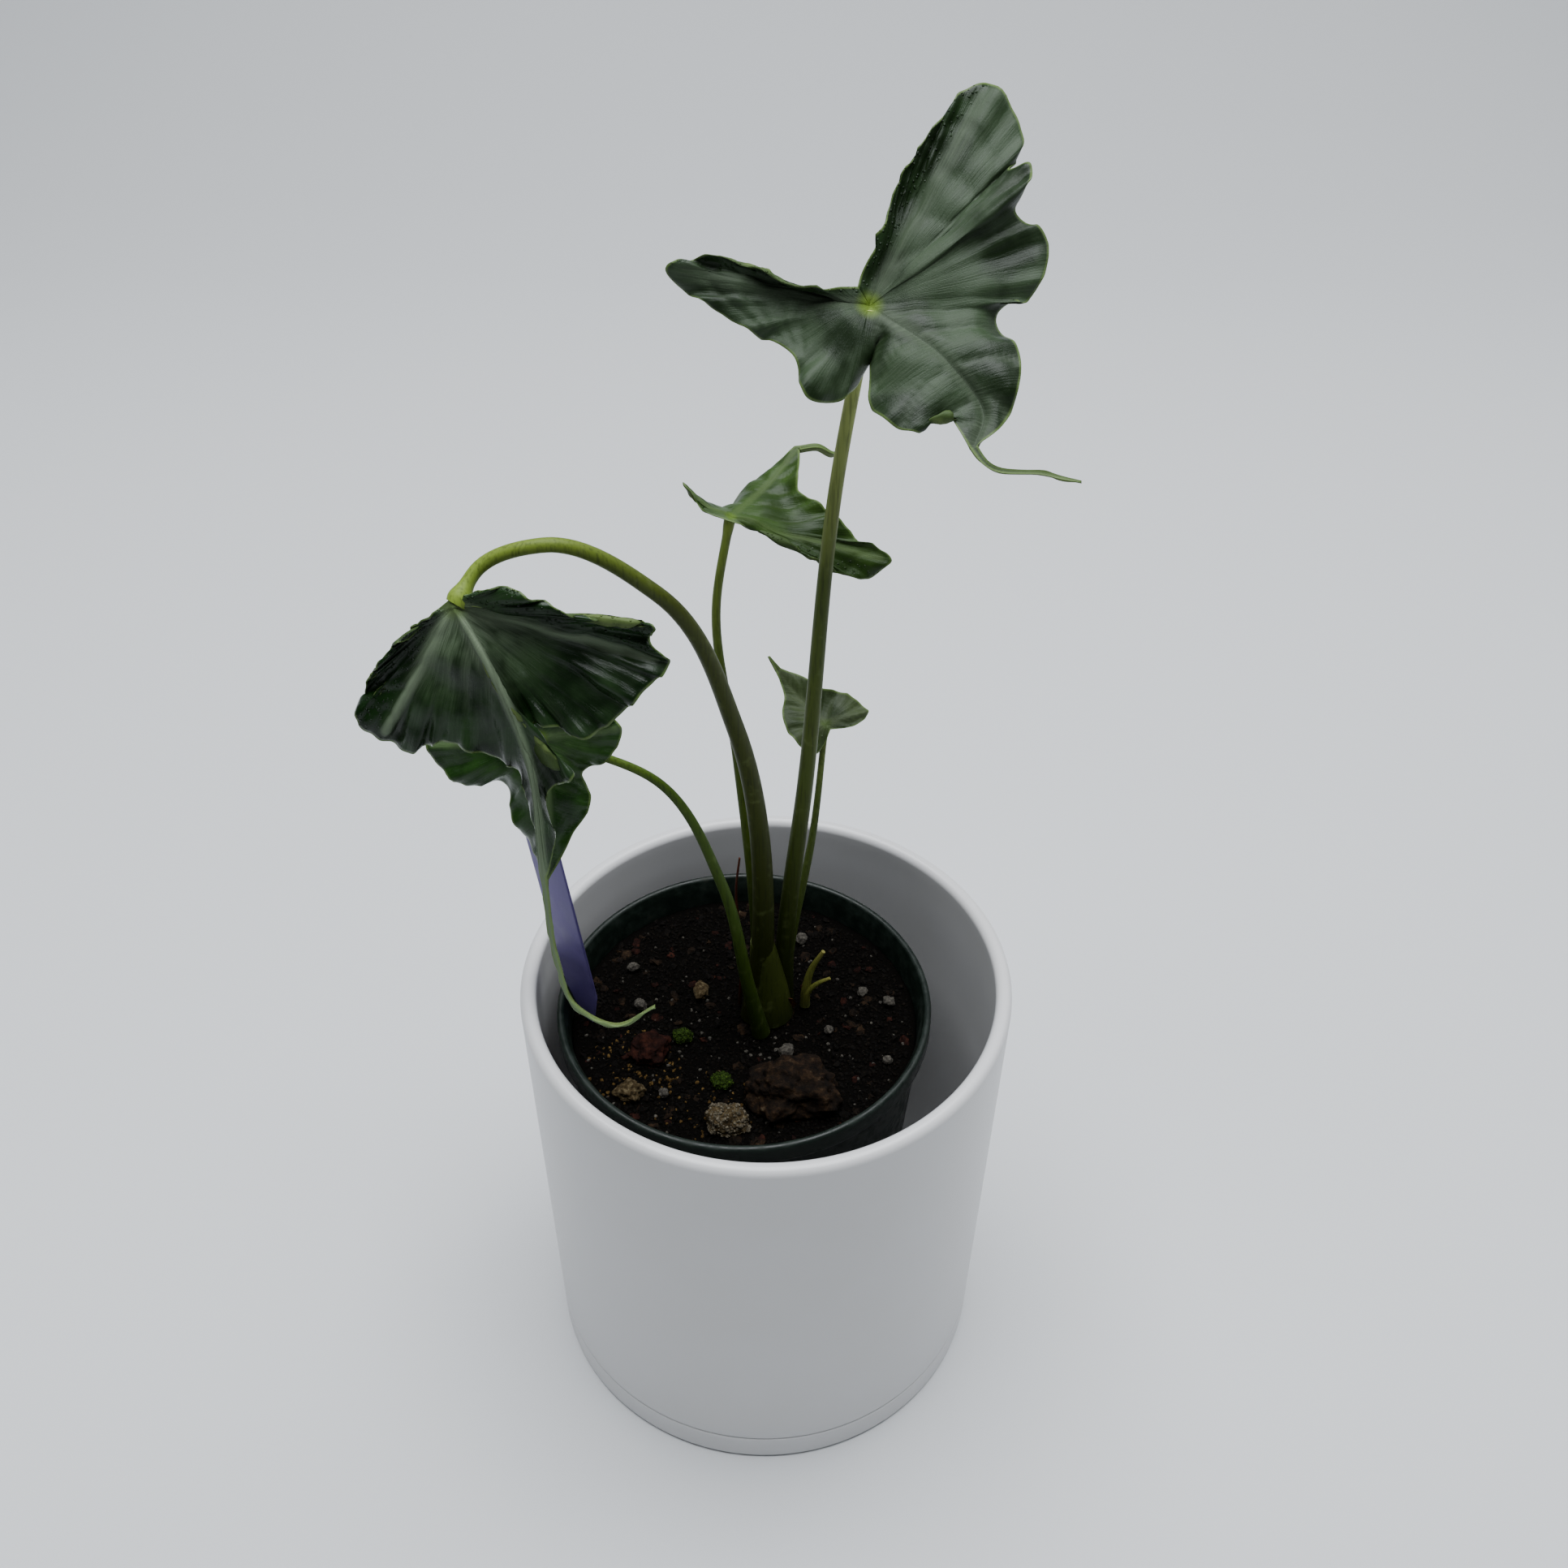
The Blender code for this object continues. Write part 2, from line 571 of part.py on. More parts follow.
def leaf_blade(name, leaf):
    """A closed leaf: its upper face is swept rib by rib, then given thickness below."""
    upper = bmesh.new()
    for ribs, sign in zip(ribs_of(leaf), (1, -1)):
        rows = []
        for root, belly, edge in ribs:
            bow = (root + edge) / 2 + Vector((0, 0, belly))
            row = []
            for step in range(STEPS_ACROSS_BLADE + 1):
                u = step / STEPS_ACROSS_BLADE
                place = root * (1 - u) ** 2 + bow * (2 * u * (1 - u)) + edge * u ** 2
                row.append(upper.verts.new(place))
            rows.append(row)
        for here, there in zip(rows, rows[1:]):
            for step in range(STEPS_ACROSS_BLADE):
                corners = [here[step], here[step + 1], there[step + 1], there[step]]
                upper.faces.new(corners if sign > 0 else corners[::-1])
    bmesh.ops.remove_doubles(upper, verts=upper.verts, dist=0.001)
    upper.normal_update()
    edge_verts = {vert for edge in upper.edges if edge.is_boundary for vert in edge.verts}
    lowered = {}
    spine = smooth_path(leaf["midrib"], 6)
    for vert in list(upper.verts):
        from_spine = min((vert.co - point).length for point in spine)
        extra = (MIDRIB_THICKNESS - BLADE_THICKNESS) * math.exp(-(from_spine / MIDRIB_REACH) ** 2)
        if vert in edge_verts:
            extra = 0.0
        lowered[vert] = upper.verts.new(vert.co - vert.normal * (BLADE_THICKNESS + extra))
    for face in list(upper.faces):
        upper.faces.new([lowered[vert] for vert in reversed(face.verts)])
    for edge in [edge for edge in upper.edges if edge.is_boundary and edge.verts[0] in lowered]:
        a, b = edge.verts
        upper.faces.new([a, b, lowered[b], lowered[a]])
    bmesh.ops.transform(upper, matrix=leaf_frame(leaf), verts=upper.verts)
    add(name, mesh_from(upper, name, 60.0), LEAF_COLOURS[name], 0.4)


def stem_to_leaf(name, leaf):
    """A stem that ends behind the leaf's joint. The end is set back for its slant, so that a
    thicker stem stays as clear of the leaf."""
    shape = STEMS[name]
    slant = STEM_SLANT * shape["tip"] * STEM_THICKNESS ** 2
    behind = leaf_frame(leaf) @ Vector((0, 0, -(MIDRIB_THICKNESS + JOINT_GAP + slant)))
    end = (behind.x, behind.y, behind.z - soil_top)
    stem(name, shape["foot"], shape["bends"], end, shape["base"], shape["tip"], STEM_COLOURS[name])


def bract():
    """A dry brown scale that still clasps the tallest stem's foot."""
    shape = STEMS["stem_top"]
    centre = spread(*shape["foot"], STEM_FOOT)
    inner = shape["base"] * (1 + FOOT_SWELL) * STEM_THICKNESS / 2 + BRACT_CLEARANCE
    outer = inner + BRACT_THICKNESS
    steps = 6
    bm = bmesh.new()
    rows = []
    for i in range(steps + 1):
        turn = math.radians(BRACT_START + BRACT_SPAN * i / steps)
        from_middle = 2 * i / steps - 1
        tall = BRACT_HEIGHT - (BRACT_HEIGHT - BRACT_SIDE_HEIGHT) * from_middle ** 2
        ring = []
        section = ((inner, 0), (outer, 0), (outer + BRACT_FLARE, tall), (inner + BRACT_FLARE, tall))
        for radius, z in section:
            ring.append(bm.verts.new(on_soil(centre[0] + radius * math.cos(turn),
                                             centre[1] + radius * math.sin(turn), STEM_FOOT + z)))
        rows.append(ring)
    for here, there in zip(rows, rows[1:]):
        for k in range(4):
            bm.faces.new([here[k], here[(k + 1) % 4], there[(k + 1) % 4], there[k]])
    bm.faces.new(rows[0])
    bm.faces.new(rows[-1])
    add("papery_bract", mesh_from(bm, "papery_bract"), (0.2, 0.09, 0.03), 0.8)


# ---- What lies on the soil ----
def lump(name, place, size, turn, colour, seed, detail=2, beside=(0.0, 0.0)):
    """An irregular piece with a flat underside, resting just above the soil. Beside moves it from
    its place, for a piece that lies against another."""
    bm = bmesh.new()
    bmesh.ops.create_icosphere(bm, subdivisions=detail, radius=1.0)
    for vert in bm.verts:
        vert.co *= 1.0 + 0.22 * noise.noise(vert.co * 1.6 + Vector((seed, 0, 0)))
        vert.co.z = max(vert.co.z, -0.35)
    bmesh.ops.scale(bm, vec=size, verts=bm.verts)
    bmesh.ops.rotate(bm, cent=(0, 0, 0), matrix=Matrix.Rotation(math.radians(turn), 3, "Z"),
                     verts=bm.verts)
    x, y = across_soil(*place)
    move(bm, x + beside[0], y + beside[1], soil_top + 0.35 * size[2] + GAP)
    add(name, mesh_from(bm, name), colour, 0.9)


def top_dressing():
    """Bark, moss and white perlite: (direction, share of the way to the wall), then half sizes."""
    chunk_place = (-66, 0.65)
    lump("bark_chunk", chunk_place, (14, 10, 8), 12, (0.06, 0.04, 0.02), 1.0)
    lump("bark_crust", chunk_place, (6.5, 4.5, 4.5), -20, (0.14, 0.11, 0.08), 2.0,
         beside=(-17.4, -9.0))
    lump("moss_front", chunk_place, (3.6, 2.8, 2.2), 30, (0.06, 0.14, 0.02), 5.0,
         beside=(-19.5, 5.5))
    red_place = (-155, 0.6)
    lump("red_bark", red_place, (7.5, 5.5, 3.5), -35, (0.07, 0.02, 0.02), 3.0)
    lump("moss_left", red_place, (2.8, 2.4, 1.8), 0, (0.05, 0.12, 0.02), 4.0, beside=(9.6, 5.0))
    lump("bark_shard", (143, 0.33), (4.2, 1.7, 1.7), 60, (0.3, 0.28, 0.16), 6.0)
    lump("pale_bark", (-138, 0.85), (4.5, 3.2, 2.6), 20, (0.22, 0.15, 0.06), 7.0)
    grains = [(172, 0.62, 2.4), (-48, 0.36, 2.8), (15, 0.72, 2.0), (8, 0.86, 2.2), (62, 0.72, 2.4),
              (-12, 0.5, 1.7), (-128, 0.72, 1.8), (-22, 0.88, 1.8), (150, 0.78, 2.0)]
    for i, (angle, share, radius) in enumerate(grains, start=1):
        lump(f"perlite_{i}", (angle, share), (radius, radius * 0.9, radius * 0.8), 40 * i,
             (0.55, 0.53, 0.5), 10.0 + i, detail=1)


def build():
    drip_saucer()
    cover_pot()
    nursery_pot()
    potting_soil()
    plant_label()
    corm()
    for name in STEMS:
        leaf_name = name.replace("stem", "leaf")
        stem_to_leaf(name, LEAVES[leaf_name])
        leaf_blade(leaf_name, LEAVES[leaf_name])
    bract()
    stem("withered_shoot", (11.4, 6.2), [(11.6, 6.6, 7), (13.2, 7, 15)], (16.4, 7, 22),
         2.3, 0.8, (0.25, 0.24, 0.05))
    stem("aerial_root", (-7.9, 6.6), [(-7.2, 8, 20), (-8.6, 10, 45)], (-7.6, 10.6, 55),
         1.1, 0.6, (0.16, 0.05, 0.03))
    top_dressing()


build()
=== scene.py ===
# %% [markdown]
# # A potted alocasia
#
# This file dresses a finished frame: a young alocasia with five twisted, arrow-shaped leaves,
# rooted in a green grower's pot that stands inside a white cover pot. The frame gives every
# piece its place and size. Here each piece is made again with the curves, veins, grains and
# finishes that the real thing has. We load the frame first, and keep its box.

import math

import bmesh
import bpy
import numpy as np
from mathutils import Matrix, Vector, noise


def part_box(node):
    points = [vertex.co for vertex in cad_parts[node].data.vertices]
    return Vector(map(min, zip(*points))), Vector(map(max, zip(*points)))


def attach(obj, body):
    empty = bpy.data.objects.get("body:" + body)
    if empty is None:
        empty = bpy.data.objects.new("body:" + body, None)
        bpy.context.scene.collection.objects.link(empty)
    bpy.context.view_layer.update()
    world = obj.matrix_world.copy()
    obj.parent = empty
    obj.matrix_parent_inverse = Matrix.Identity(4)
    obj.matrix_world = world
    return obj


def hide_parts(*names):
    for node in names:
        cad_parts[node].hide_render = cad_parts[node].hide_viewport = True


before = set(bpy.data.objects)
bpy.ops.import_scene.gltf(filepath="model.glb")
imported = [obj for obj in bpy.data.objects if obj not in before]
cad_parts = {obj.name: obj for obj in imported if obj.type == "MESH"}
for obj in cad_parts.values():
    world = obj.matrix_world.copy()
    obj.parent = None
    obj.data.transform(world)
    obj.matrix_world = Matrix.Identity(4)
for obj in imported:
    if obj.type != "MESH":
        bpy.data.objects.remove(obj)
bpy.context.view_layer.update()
MM = 0.001
print("nodes to dress:", len(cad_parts))

# %% [markdown]
# ## Reading sizes off the frame
#
# Everything that touches the pots or the soil is placed from the frame's own boxes, in
# millimetres, because a plant is measured in millimetres and not in metres. The soil's surface
# is the level that the plant's heights are counted from.

# %% Levels and radii


def node_box(name):
    """A node's lowest and highest corners, in millimetres."""
    low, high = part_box(name)
    return np.array(low) / MM, np.array(high) / MM


pot_low, pot_high = node_box("cover_pot")
saucer_low, saucer_high = node_box("drip_saucer")
nursery_low, nursery_high = node_box("nursery_pot")
soil_low, soil_high = node_box("potting_soil")

pot_top = pot_high[2]
pot_rim = (pot_high[0] - pot_low[0]) / 2
pot_base = (saucer_high[0] - saucer_low[0]) / 2
nursery_top = nursery_high[2]
nursery_rim = (nursery_high[0] - nursery_low[0]) / 2
nursery_x = (nursery_high[0] + nursery_low[0]) / 2
nursery_y = (nursery_high[1] + nursery_low[1]) / 2
SOIL_BELOW_RIM = 8.4
soil_top = nursery_top - SOIL_BELOW_RIM
soil_radius = (soil_high[0] - soil_low[0]) / 2
print(f"pot {2 * pot_rim:.1f} mm across, {pot_top:.1f} mm tall; soil at {soil_top:.1f} mm")

# %% [markdown]
# ## Small helpers
#
# A colour is written the way a paint chart gives it, as an sRGB hex value, and turned to the
# linear numbers that a shader needs. `node` adds one shader or geometry node with its settings
# and links, so a material reads as a list of what it is made of.

# %% Colours, nodes and materials


def srgb(code):
    """An sRGB hex value such as '7a8f6b' as a linear colour with alpha."""
    parts = [int(code[i:i + 2], 16) / 255 for i in (0, 2, 4)]
    linear = [c / 12.92 if c <= 0.04045 else ((c + 0.055) / 1.055) ** 2.4 for c in parts]
    return (*linear, 1.0)


def feed(tree, socket, value):
    """Gives an input socket a plain value, or links it from another socket."""
    if isinstance(value, bpy.types.NodeSocket):
        tree.links.new(value, socket)
    else:
        socket.default_value = value


def node(tree, kind, settings=None, **inputs):
    """Adds a node. Settings are its properties; inputs are values, or sockets to link from.
    An input's name may end in a number for the second or third socket of that name."""
    made = tree.nodes.new(kind)
    for key, value in (settings or {}).items():
        setattr(made, key, value)
    for key, value in inputs.items():
        words = key.rsplit("__", 1)
        name = words[0].replace("_", " ")
        found = [s for s in made.inputs if s.name == name and s.enabled]
        feed(tree, found[int(words[1]) if len(words) > 1 else 0], value)
    return made


def finish_material(name, **inputs):
    """A material with one Principled shader, whose plain numbers are set on its own sockets."""
    made = bpy.data.materials.new(name)
    made.use_nodes = True
    shader = made.node_tree.nodes["Principled BSDF"]
    for key, value in inputs.items():
        shader.inputs[key.replace("_", " ")].default_value = value
    return made, made.node_tree, shader


def attribute(tree, name):
    """The number that the mesh stores at each point under this name."""
    return node(tree, "ShaderNodeAttribute", {"attribute_name": name}).outputs["Fac"]


def texture_place(tree, scale):
    """Object coordinates in units of the real size given in millimetres."""
    place = node(tree, "ShaderNodeTexCoord").outputs["Object"]
    per_metre = 1.0 / (scale * MM)
    return node(tree, "ShaderNodeVectorMath", {"operation": "SCALE"}, Vector=place,
                Scale=per_metre).outputs["Vector"]


def ramp(tree, value, *stops):
    """A colour ramp through (place, hex colour) stops."""
    made = node(tree, "ShaderNodeValToRGB", Fac=value)
    while len(made.color_ramp.elements) < len(stops):
        made.color_ramp.elements.new(0.5)
    for element, (place, code) in zip(made.color_ramp.elements, stops):
        element.position = place
        element.color = srgb(code)
    return made.outputs["Color"]


def remap(tree, value, low, high, to_low, to_high):
    """A number carried from one range to another, smoothly and held at the ends."""
    made = node(tree, "ShaderNodeMapRange", {"interpolation_type": "SMOOTHSTEP"}, Value=value,
                From_Min=low, From_Max=high, To_Min=to_low, To_Max=to_high)
    return made.outputs["Result"]


def mix(tree, share, one, other):
    """Two colours mixed by a share. A mix node keeps its colour sockets behind those for plain
    numbers and vectors, so they are asked for by their place."""
    made = node(tree, "ShaderNodeMix", {"data_type": "RGBA"})
    feed(tree, made.inputs["Factor"], share)
    feed(tree, made.inputs[6], one)
    feed(tree, made.inputs[7], other)
    return made.outputs[2]


def calc(tree, operation, a, b):
    """One step of arithmetic."""
    made = node(tree, "ShaderNodeMath", {"operation": operation})
    feed(tree, made.inputs[0], a)
    feed(tree, made.inputs[1], b)
    return made.outputs["Value"]


def noise_at(tree, place, detail=3.0, roughness=0.5, scale=1.0):
    """Soft noise from 0 to 1 at a place."""
    return node(tree, "ShaderNodeTexNoise", Vector=place, Scale=scale, Detail=detail,
                Roughness=roughness).outputs["Fac"]


def paint(tree, shader, colour):
    """Makes a socket's colour the finish's own."""
    tree.links.new(colour, shader.inputs["Base Color"])


def bump(tree, shader, height, depth_mm, under=None):
    """Fine relief of a real depth in millimetres, in the shader's normal, over any under it."""
    made = node(tree, "ShaderNodeBump", Height=height, Strength=1.0, Distance=depth_mm * MM)
    if under is not None:
        tree.links.new(under, made.inputs["Normal"])
    tree.links.new(made.outputs["Normal"], shader.inputs["Normal"])
    return made.outputs["Normal"]


# %% [markdown]
# A finished piece rides on the object's one body and hides the plain solids it stands for. All
# pieces are made in millimetres and turned to metres here.

# %% Meshes and pieces


def placed_in_scene(name, data):
    """A new object of this mesh, curve, light or camera, in the scene."""
    made = bpy.data.objects.new(name, data)
    bpy.context.scene.collection.objects.link(made)
    return made


def piece(name, mesh, material, slot, *replaced):
    """Puts a finished mesh in the scene as one piece of the object."""
    made = placed_in_scene(name, mesh)
    mesh.materials.clear()
    mesh.materials.append(material)
    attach(made, "root")
    if replaced:
        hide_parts(*replaced)
    print(f"{name}: {len(mesh.polygons)} faces")
    return made


def mesh_of(bm, name, sharp=40.0):
    """A bmesh in millimetres as a smooth mesh in metres, merged and facing out."""
    bmesh.ops.remove_doubles(bm, verts=bm.verts, dist=0.0005)
    bmesh.ops.recalc_face_normals(bm, faces=bm.faces)
    bmesh.ops.scale(bm, vec=(MM, MM, MM), verts=bm.verts)
    mesh = bpy.data.meshes.new(name)
    bm.to_mesh(mesh)
    bm.free()
    mesh.shade_smooth()
    mesh.set_sharp_from_angle(angle=math.radians(sharp))
    return mesh


def turned(profile, segments, closed):
    """Spins (radius, height) points round the Z axis; an open profile starts and ends on it."""
    bm = bmesh.new()
    points = [bm.verts.new((radius, 0.0, height)) for radius, height in profile]
    edges = [bm.edges.new(pair) for pair in zip(points, points[1:])]
    if closed:
        edges.append(bm.edges.new((points[-1], points[0])))
    bmesh.ops.spin(bm, geom=points + edges, axis=(0, 0, 1), cent=(0, 0, 0),
                   angle=math.tau, steps=segments, use_merge=True)
    return bm


def arc(centre, radius, start, end, steps):
    """Points (radius, height) along an arc; angles in degrees from straight out."""
    turns = [math.radians(start + (end - start) * i / steps) for i in range(steps + 1)]
    return [(centre[0] + radius * math.cos(t), centre[1] + radius * math.sin(t)) for t in turns]


def rise(start, end, steps):
    """Evenly spaced points between two, without the last."""
    return [tuple(a + (b - a) * i / steps for a, b in zip(start, end)) for i in range(steps)]


def smooth_path(points, per_span):
    """A smooth curve through points of any dimension, as an array. A point's slope weighs both
    its neighbours by their distance, so uneven points make no bulge."""
    points = np.array(points, float)
    steps = np.diff(points, axis=0)
    gaps = np.linalg.norm(steps, axis=1)[:, None]
    inner = (steps[:-1] * gaps[1:] / gaps[:-1] + steps[1:] * gaps[:-1] / gaps[1:])
    inner = inner / (gaps[:-1] + gaps[1:])
    slopes = np.vstack([steps[:1] / gaps[:1], inner, steps[-1:] / gaps[-1:]])
    path = []
    for i, gap in enumerate(gaps):
        for t in np.arange(per_span) / per_span:
            path.append(points[i] * (1 + 2 * t) * (1 - t) ** 2
                        + slopes[i] * gap * t * (1 - t) ** 2
                        + points[i + 1] * t * t * (3 - 2 * t)
                        + slopes[i + 1] * gap * t * t * (t - 1))
    path.append(points[-1])
    return np.array(path)


def along_path(path, shares):
    """Points a share of the way along a path, counted in its own steps."""
    places = np.asarray(shares, float) * (len(path) - 1)
    first = np.minimum(places.astype(int), len(path) - 2)
    part = (places - first)[..., None]
    return path[first] * (1 - part) + path[first + 1] * part


def lengths_along(path):
    """How far along a path each of its points lies."""
    return np.concatenate([[0.0], np.cumsum(np.linalg.norm(np.diff(path, axis=0), axis=1))])


# %% [markdown]
# ## The room and the camera
#
# The plant stands on a pale surface that curves up into a pale wall behind it. The surface lies a
# hair below the saucer, so the two never share a plane. The light comes from one broad
# soft lamp overhead, so whatever faces up is bright and the pot's upright sides are dimmer. A
# weak window light comes from behind, on the right. The camera stands above the pot's front and looks down
# at about forty degrees.

# %% Floor and backdrop
FLOOR_FRONT, FLOOR_BACK, WALL_TOP, HALF_WIDTH = -2.6, 0.9, 3.0, 3.0
BEND = 0.9
FLOOR_DROP = 0.0004
backdrop_profile = [(FLOOR_FRONT, 0.0), (FLOOR_BACK, 0.0)]
backdrop_profile += [(FLOOR_BACK + BEND * math.sin(a), BEND - BEND * math.cos(a))
                     for a in (math.radians(9 * i) for i in range(1, 11))]
backdrop_profile += [(FLOOR_BACK + BEND, WALL_TOP)]
backdrop = bmesh.new()
for side in (-HALF_WIDTH, HALF_WIDTH):
    for y, z in backdrop_profile:
        backdrop.verts.new((side, y, z - FLOOR_DROP))
backdrop.verts.ensure_lookup_table()
count = len(backdrop_profile)
for i in range(count - 1):
    backdrop.faces.new([backdrop.verts[k] for k in (i, i + count, i + count + 1, i + 1)])
backdrop_mesh = bpy.data.meshes.new("backdrop")
backdrop.to_mesh(backdrop_mesh)
backdrop.free()
backdrop_mesh.shade_smooth()
paper, tree, shader = finish_material("pale_paper", Roughness=0.8)
shader.inputs["Base Color"].default_value = srgb("c9cbcd")
backdrop_mesh.materials.append(paper)
floor = placed_in_scene("floor", backdrop_mesh)
print("backdrop", len(backdrop_mesh.polygons), "faces")

# %% Lights


def soft_light(name, place, target, width, height, power, colour):
    """A large rectangular light at a place, facing a target."""
    data = bpy.data.lights.new(name, "AREA")
    data.shape = "RECTANGLE"
    data.size = width
    data.size_y = height
    data.energy = power
    data.color = srgb(colour)[:3]
    light = placed_in_scene(name, data)
    light.location = place
    light.rotation_euler = (Vector(target) - Vector(place)).to_track_quat("-Z", "Y").to_euler()


soft_light("ceiling", (0.0, 0.08, 1.6), (0.0, 0.03, 0.0), 1.5, 1.3, 60.0, "f8fbff")
soft_light("window", (1.2, 0.6, 1.0), (0.0, 0.0, 0.2), 1.0, 1.0, 4.0, "fbfdff")
world = bpy.data.worlds.new("dull_day")
world.use_nodes = True
world.node_tree.nodes["Background"].inputs["Color"].default_value = srgb("e8ecf0")
world.node_tree.nodes["Background"].inputs["Strength"].default_value = 0.17
bpy.context.scene.world = world
print("two soft lights and a pale sky")

# %% Camera
CAMERA_PLACE = (0.0, -0.31, 0.468)
CAMERA_PITCH = math.radians(39.3)
CAMERA_YAW = math.radians(0.8)
CAMERA_ROLL = math.radians(0.7)
forward = Vector((math.sin(CAMERA_YAW) * math.cos(CAMERA_PITCH),
                  math.cos(CAMERA_YAW) * math.cos(CAMERA_PITCH), -math.sin(CAMERA_PITCH)))
level = Vector((math.cos(CAMERA_YAW), -math.sin(CAMERA_YAW), 0.0))
upright = level.cross(forward)
right = math.cos(CAMERA_ROLL) * level + math.sin(CAMERA_ROLL) * upright
up = -math.sin(CAMERA_ROLL) * level + math.cos(CAMERA_ROLL) * upright
camera_data = bpy.data.cameras.new("camera")
camera_data.lens = 35.7
camera_data.sensor_width = 36.0
camera_data.clip_start = 0.01
camera = placed_in_scene("camera", camera_data)
camera.matrix_world = (Matrix.Translation(CAMERA_PLACE)
                       @ Matrix((right, up, -forward)).transposed().to_4x4())
bpy.context.scene.camera = camera
print("camera", CAMERA_PLACE)

# %% [markdown]
# ## White moulded pot
#
# The cover pot is a plain round shell with a fully rounded lip, and the saucer below it carries
# on its line, so that only a thin dark seam shows. Both are solids of revolution, so we draw
# half a section and spin it. The finish is a satin white with a very faint orange-peel skin and
# the slightest difference in gloss from handling.

# %% The white finish
white_pot, tree, shader = finish_material("satin_white_ceramic", IOR=1.5)
place = texture_place(tree, 1.0)
broad = noise_at(tree, place, scale=0.03, detail=2.0)
paint(tree, shader, ramp(tree, broad, (0.35, "c5c5c5"), (0.65, "c7c7c8")))
tree.links.new(remap(tree, broad, 0.3, 0.7, 0.29, 0.31), shader.inputs["Roughness"])
bump(tree, shader, noise_at(tree, place, scale=1.1, detail=2.0), 0.012)

# %% Saucer and cover pot
LIP = 2.3
WALL = 2 * LIP
SEAM_LOW, SEAM_HIGH = saucer_high[2], pot_low[2] + 7.6
SEAM_SOFT = 0.45
SAUCER_WALL = 3.0
SAUCER_FLOOR = 3.0
SAUCER_EDGE = 1.3
FOOT_INSET = 6.5
FOOT_EDGE = 0.8
POT_FLOOR = 4.5
POT_CORNER = 3.5
DRAIN_RADIUS = 8.0
TURN_STEPS = 192


def pot_radius(z):
    """The outer radius at a height: a slight widening towards the rim."""
    return pot_base + (pot_rim - pot_base) * z / pot_top


def saucer():
    """Half a section of the saucer, from its middle out, up and back in, turned."""
    inside = pot_radius(SEAM_LOW) - SAUCER_WALL
    soft = SEAM_SOFT
    edge = SAUCER_EDGE
    profile = [(0.0, 0.0), *rise((pot_base - 6, 0.0), (pot_base - edge, 0.0), 2)]
    profile += arc((pot_radius(0) - edge, edge), edge, -90, 0, 6)
    profile += rise((pot_radius(1.5), 1.5), (pot_radius(SEAM_LOW - soft), SEAM_LOW - soft), 4)
    profile += arc((pot_radius(SEAM_LOW) - soft, SEAM_LOW - soft), soft, 0, 90, 4)
    profile += arc((inside + soft, SEAM_LOW - soft), soft, 90, 180, 4)
    profile += [(inside, SAUCER_FLOOR + 2.0)]
    profile += arc((inside - 2.0, SAUCER_FLOOR + 2.0), 2.0, 0, -90, 5)
    profile += [(0.0, SAUCER_FLOOR)]
    mesh = mesh_of(turned(profile, TURN_STEPS, False), "drip_saucer")
    piece("saucer", mesh, white_pot, "white_pot", "drip_saucer")


def pot():
    """The pot's section, from the drain hole out to the foot, over the lip and down inside."""
    foot = pot_radius(SEAM_LOW) - FOOT_INSET
    low = pot_low[2]
    floor_top = low + POT_FLOOR
    soft = SEAM_SOFT
    inner_low = pot_radius(floor_top) - WALL
    profile = [(DRAIN_RADIUS, low)]
    profile += arc((foot - FOOT_EDGE, low + FOOT_EDGE), FOOT_EDGE, -90, 0, 4)
    profile += [(foot, SEAM_HIGH)]
    profile += arc((pot_radius(SEAM_HIGH) - soft, SEAM_HIGH + soft), soft, -90, 0, 4)
    profile += rise((pot_radius(15), 15.0), (pot_rim, pot_top - LIP), 24)
    profile += arc((pot_rim - LIP, pot_top - LIP), LIP, 0, 180, 16)
    profile += rise((pot_rim - WALL, pot_top - LIP - 3), (inner_low, floor_top + 4.0), 24)
    profile += arc((inner_low - POT_CORNER, floor_top + POT_CORNER), POT_CORNER, 0, -90, 6)
    profile += [(DRAIN_RADIUS, floor_top)]
    mesh = mesh_of(turned(profile, TURN_STEPS, True), "cover_pot")
    piece("round_cover_pot", mesh, white_pot, "white_pot", "cover_pot")


saucer()
pot()

# %% [markdown]
# ## Grower's pot
#
# The green pot inside is thin blow-moulded plastic with a rolled lip. It has been used, so its
# wall carries faint scuffs and a little dried soil, as noise all over it.

# %% Dark green plastic
nursery_plastic, tree, shader = finish_material("green_polypropylene", Specular_IOR_Level=0.3)
place = texture_place(tree, 1.0)
dust = noise_at(tree, place, scale=0.22, detail=6.0, roughness=0.65)
paint(tree, shader, ramp(tree, dust, (0.42, "0a130e"), (0.62, "111b15"), (0.78, "1f2119")))
tree.links.new(remap(tree, dust, 0.4, 0.7, 0.34, 0.62), shader.inputs["Roughness"])
bump(tree, shader, noise_at(tree, place, scale=0.5, detail=4.0), 0.06)

# %% The grower's pot


def plain_mesh(obj, name):
    """The object's mesh with its modifiers applied."""
    bpy.context.view_layer.update()
    evaluated = obj.evaluated_get(bpy.context.evaluated_depsgraph_get())
    mesh = bpy.data.meshes.new_from_object(evaluated)
    mesh.name = name
    return mesh


NURSERY_WALL = 1.2
NURSERY_LIP = 1.8
NURSERY_TAPER = 9.0
LIP_HEIGHT = 6.0
LIP_ROLL = 1.1
HOLE_COUNT, HOLE_RADIUS, HOLE_INSET = 6, 4.5, 12
MIDDLE_HOLE = 6.0


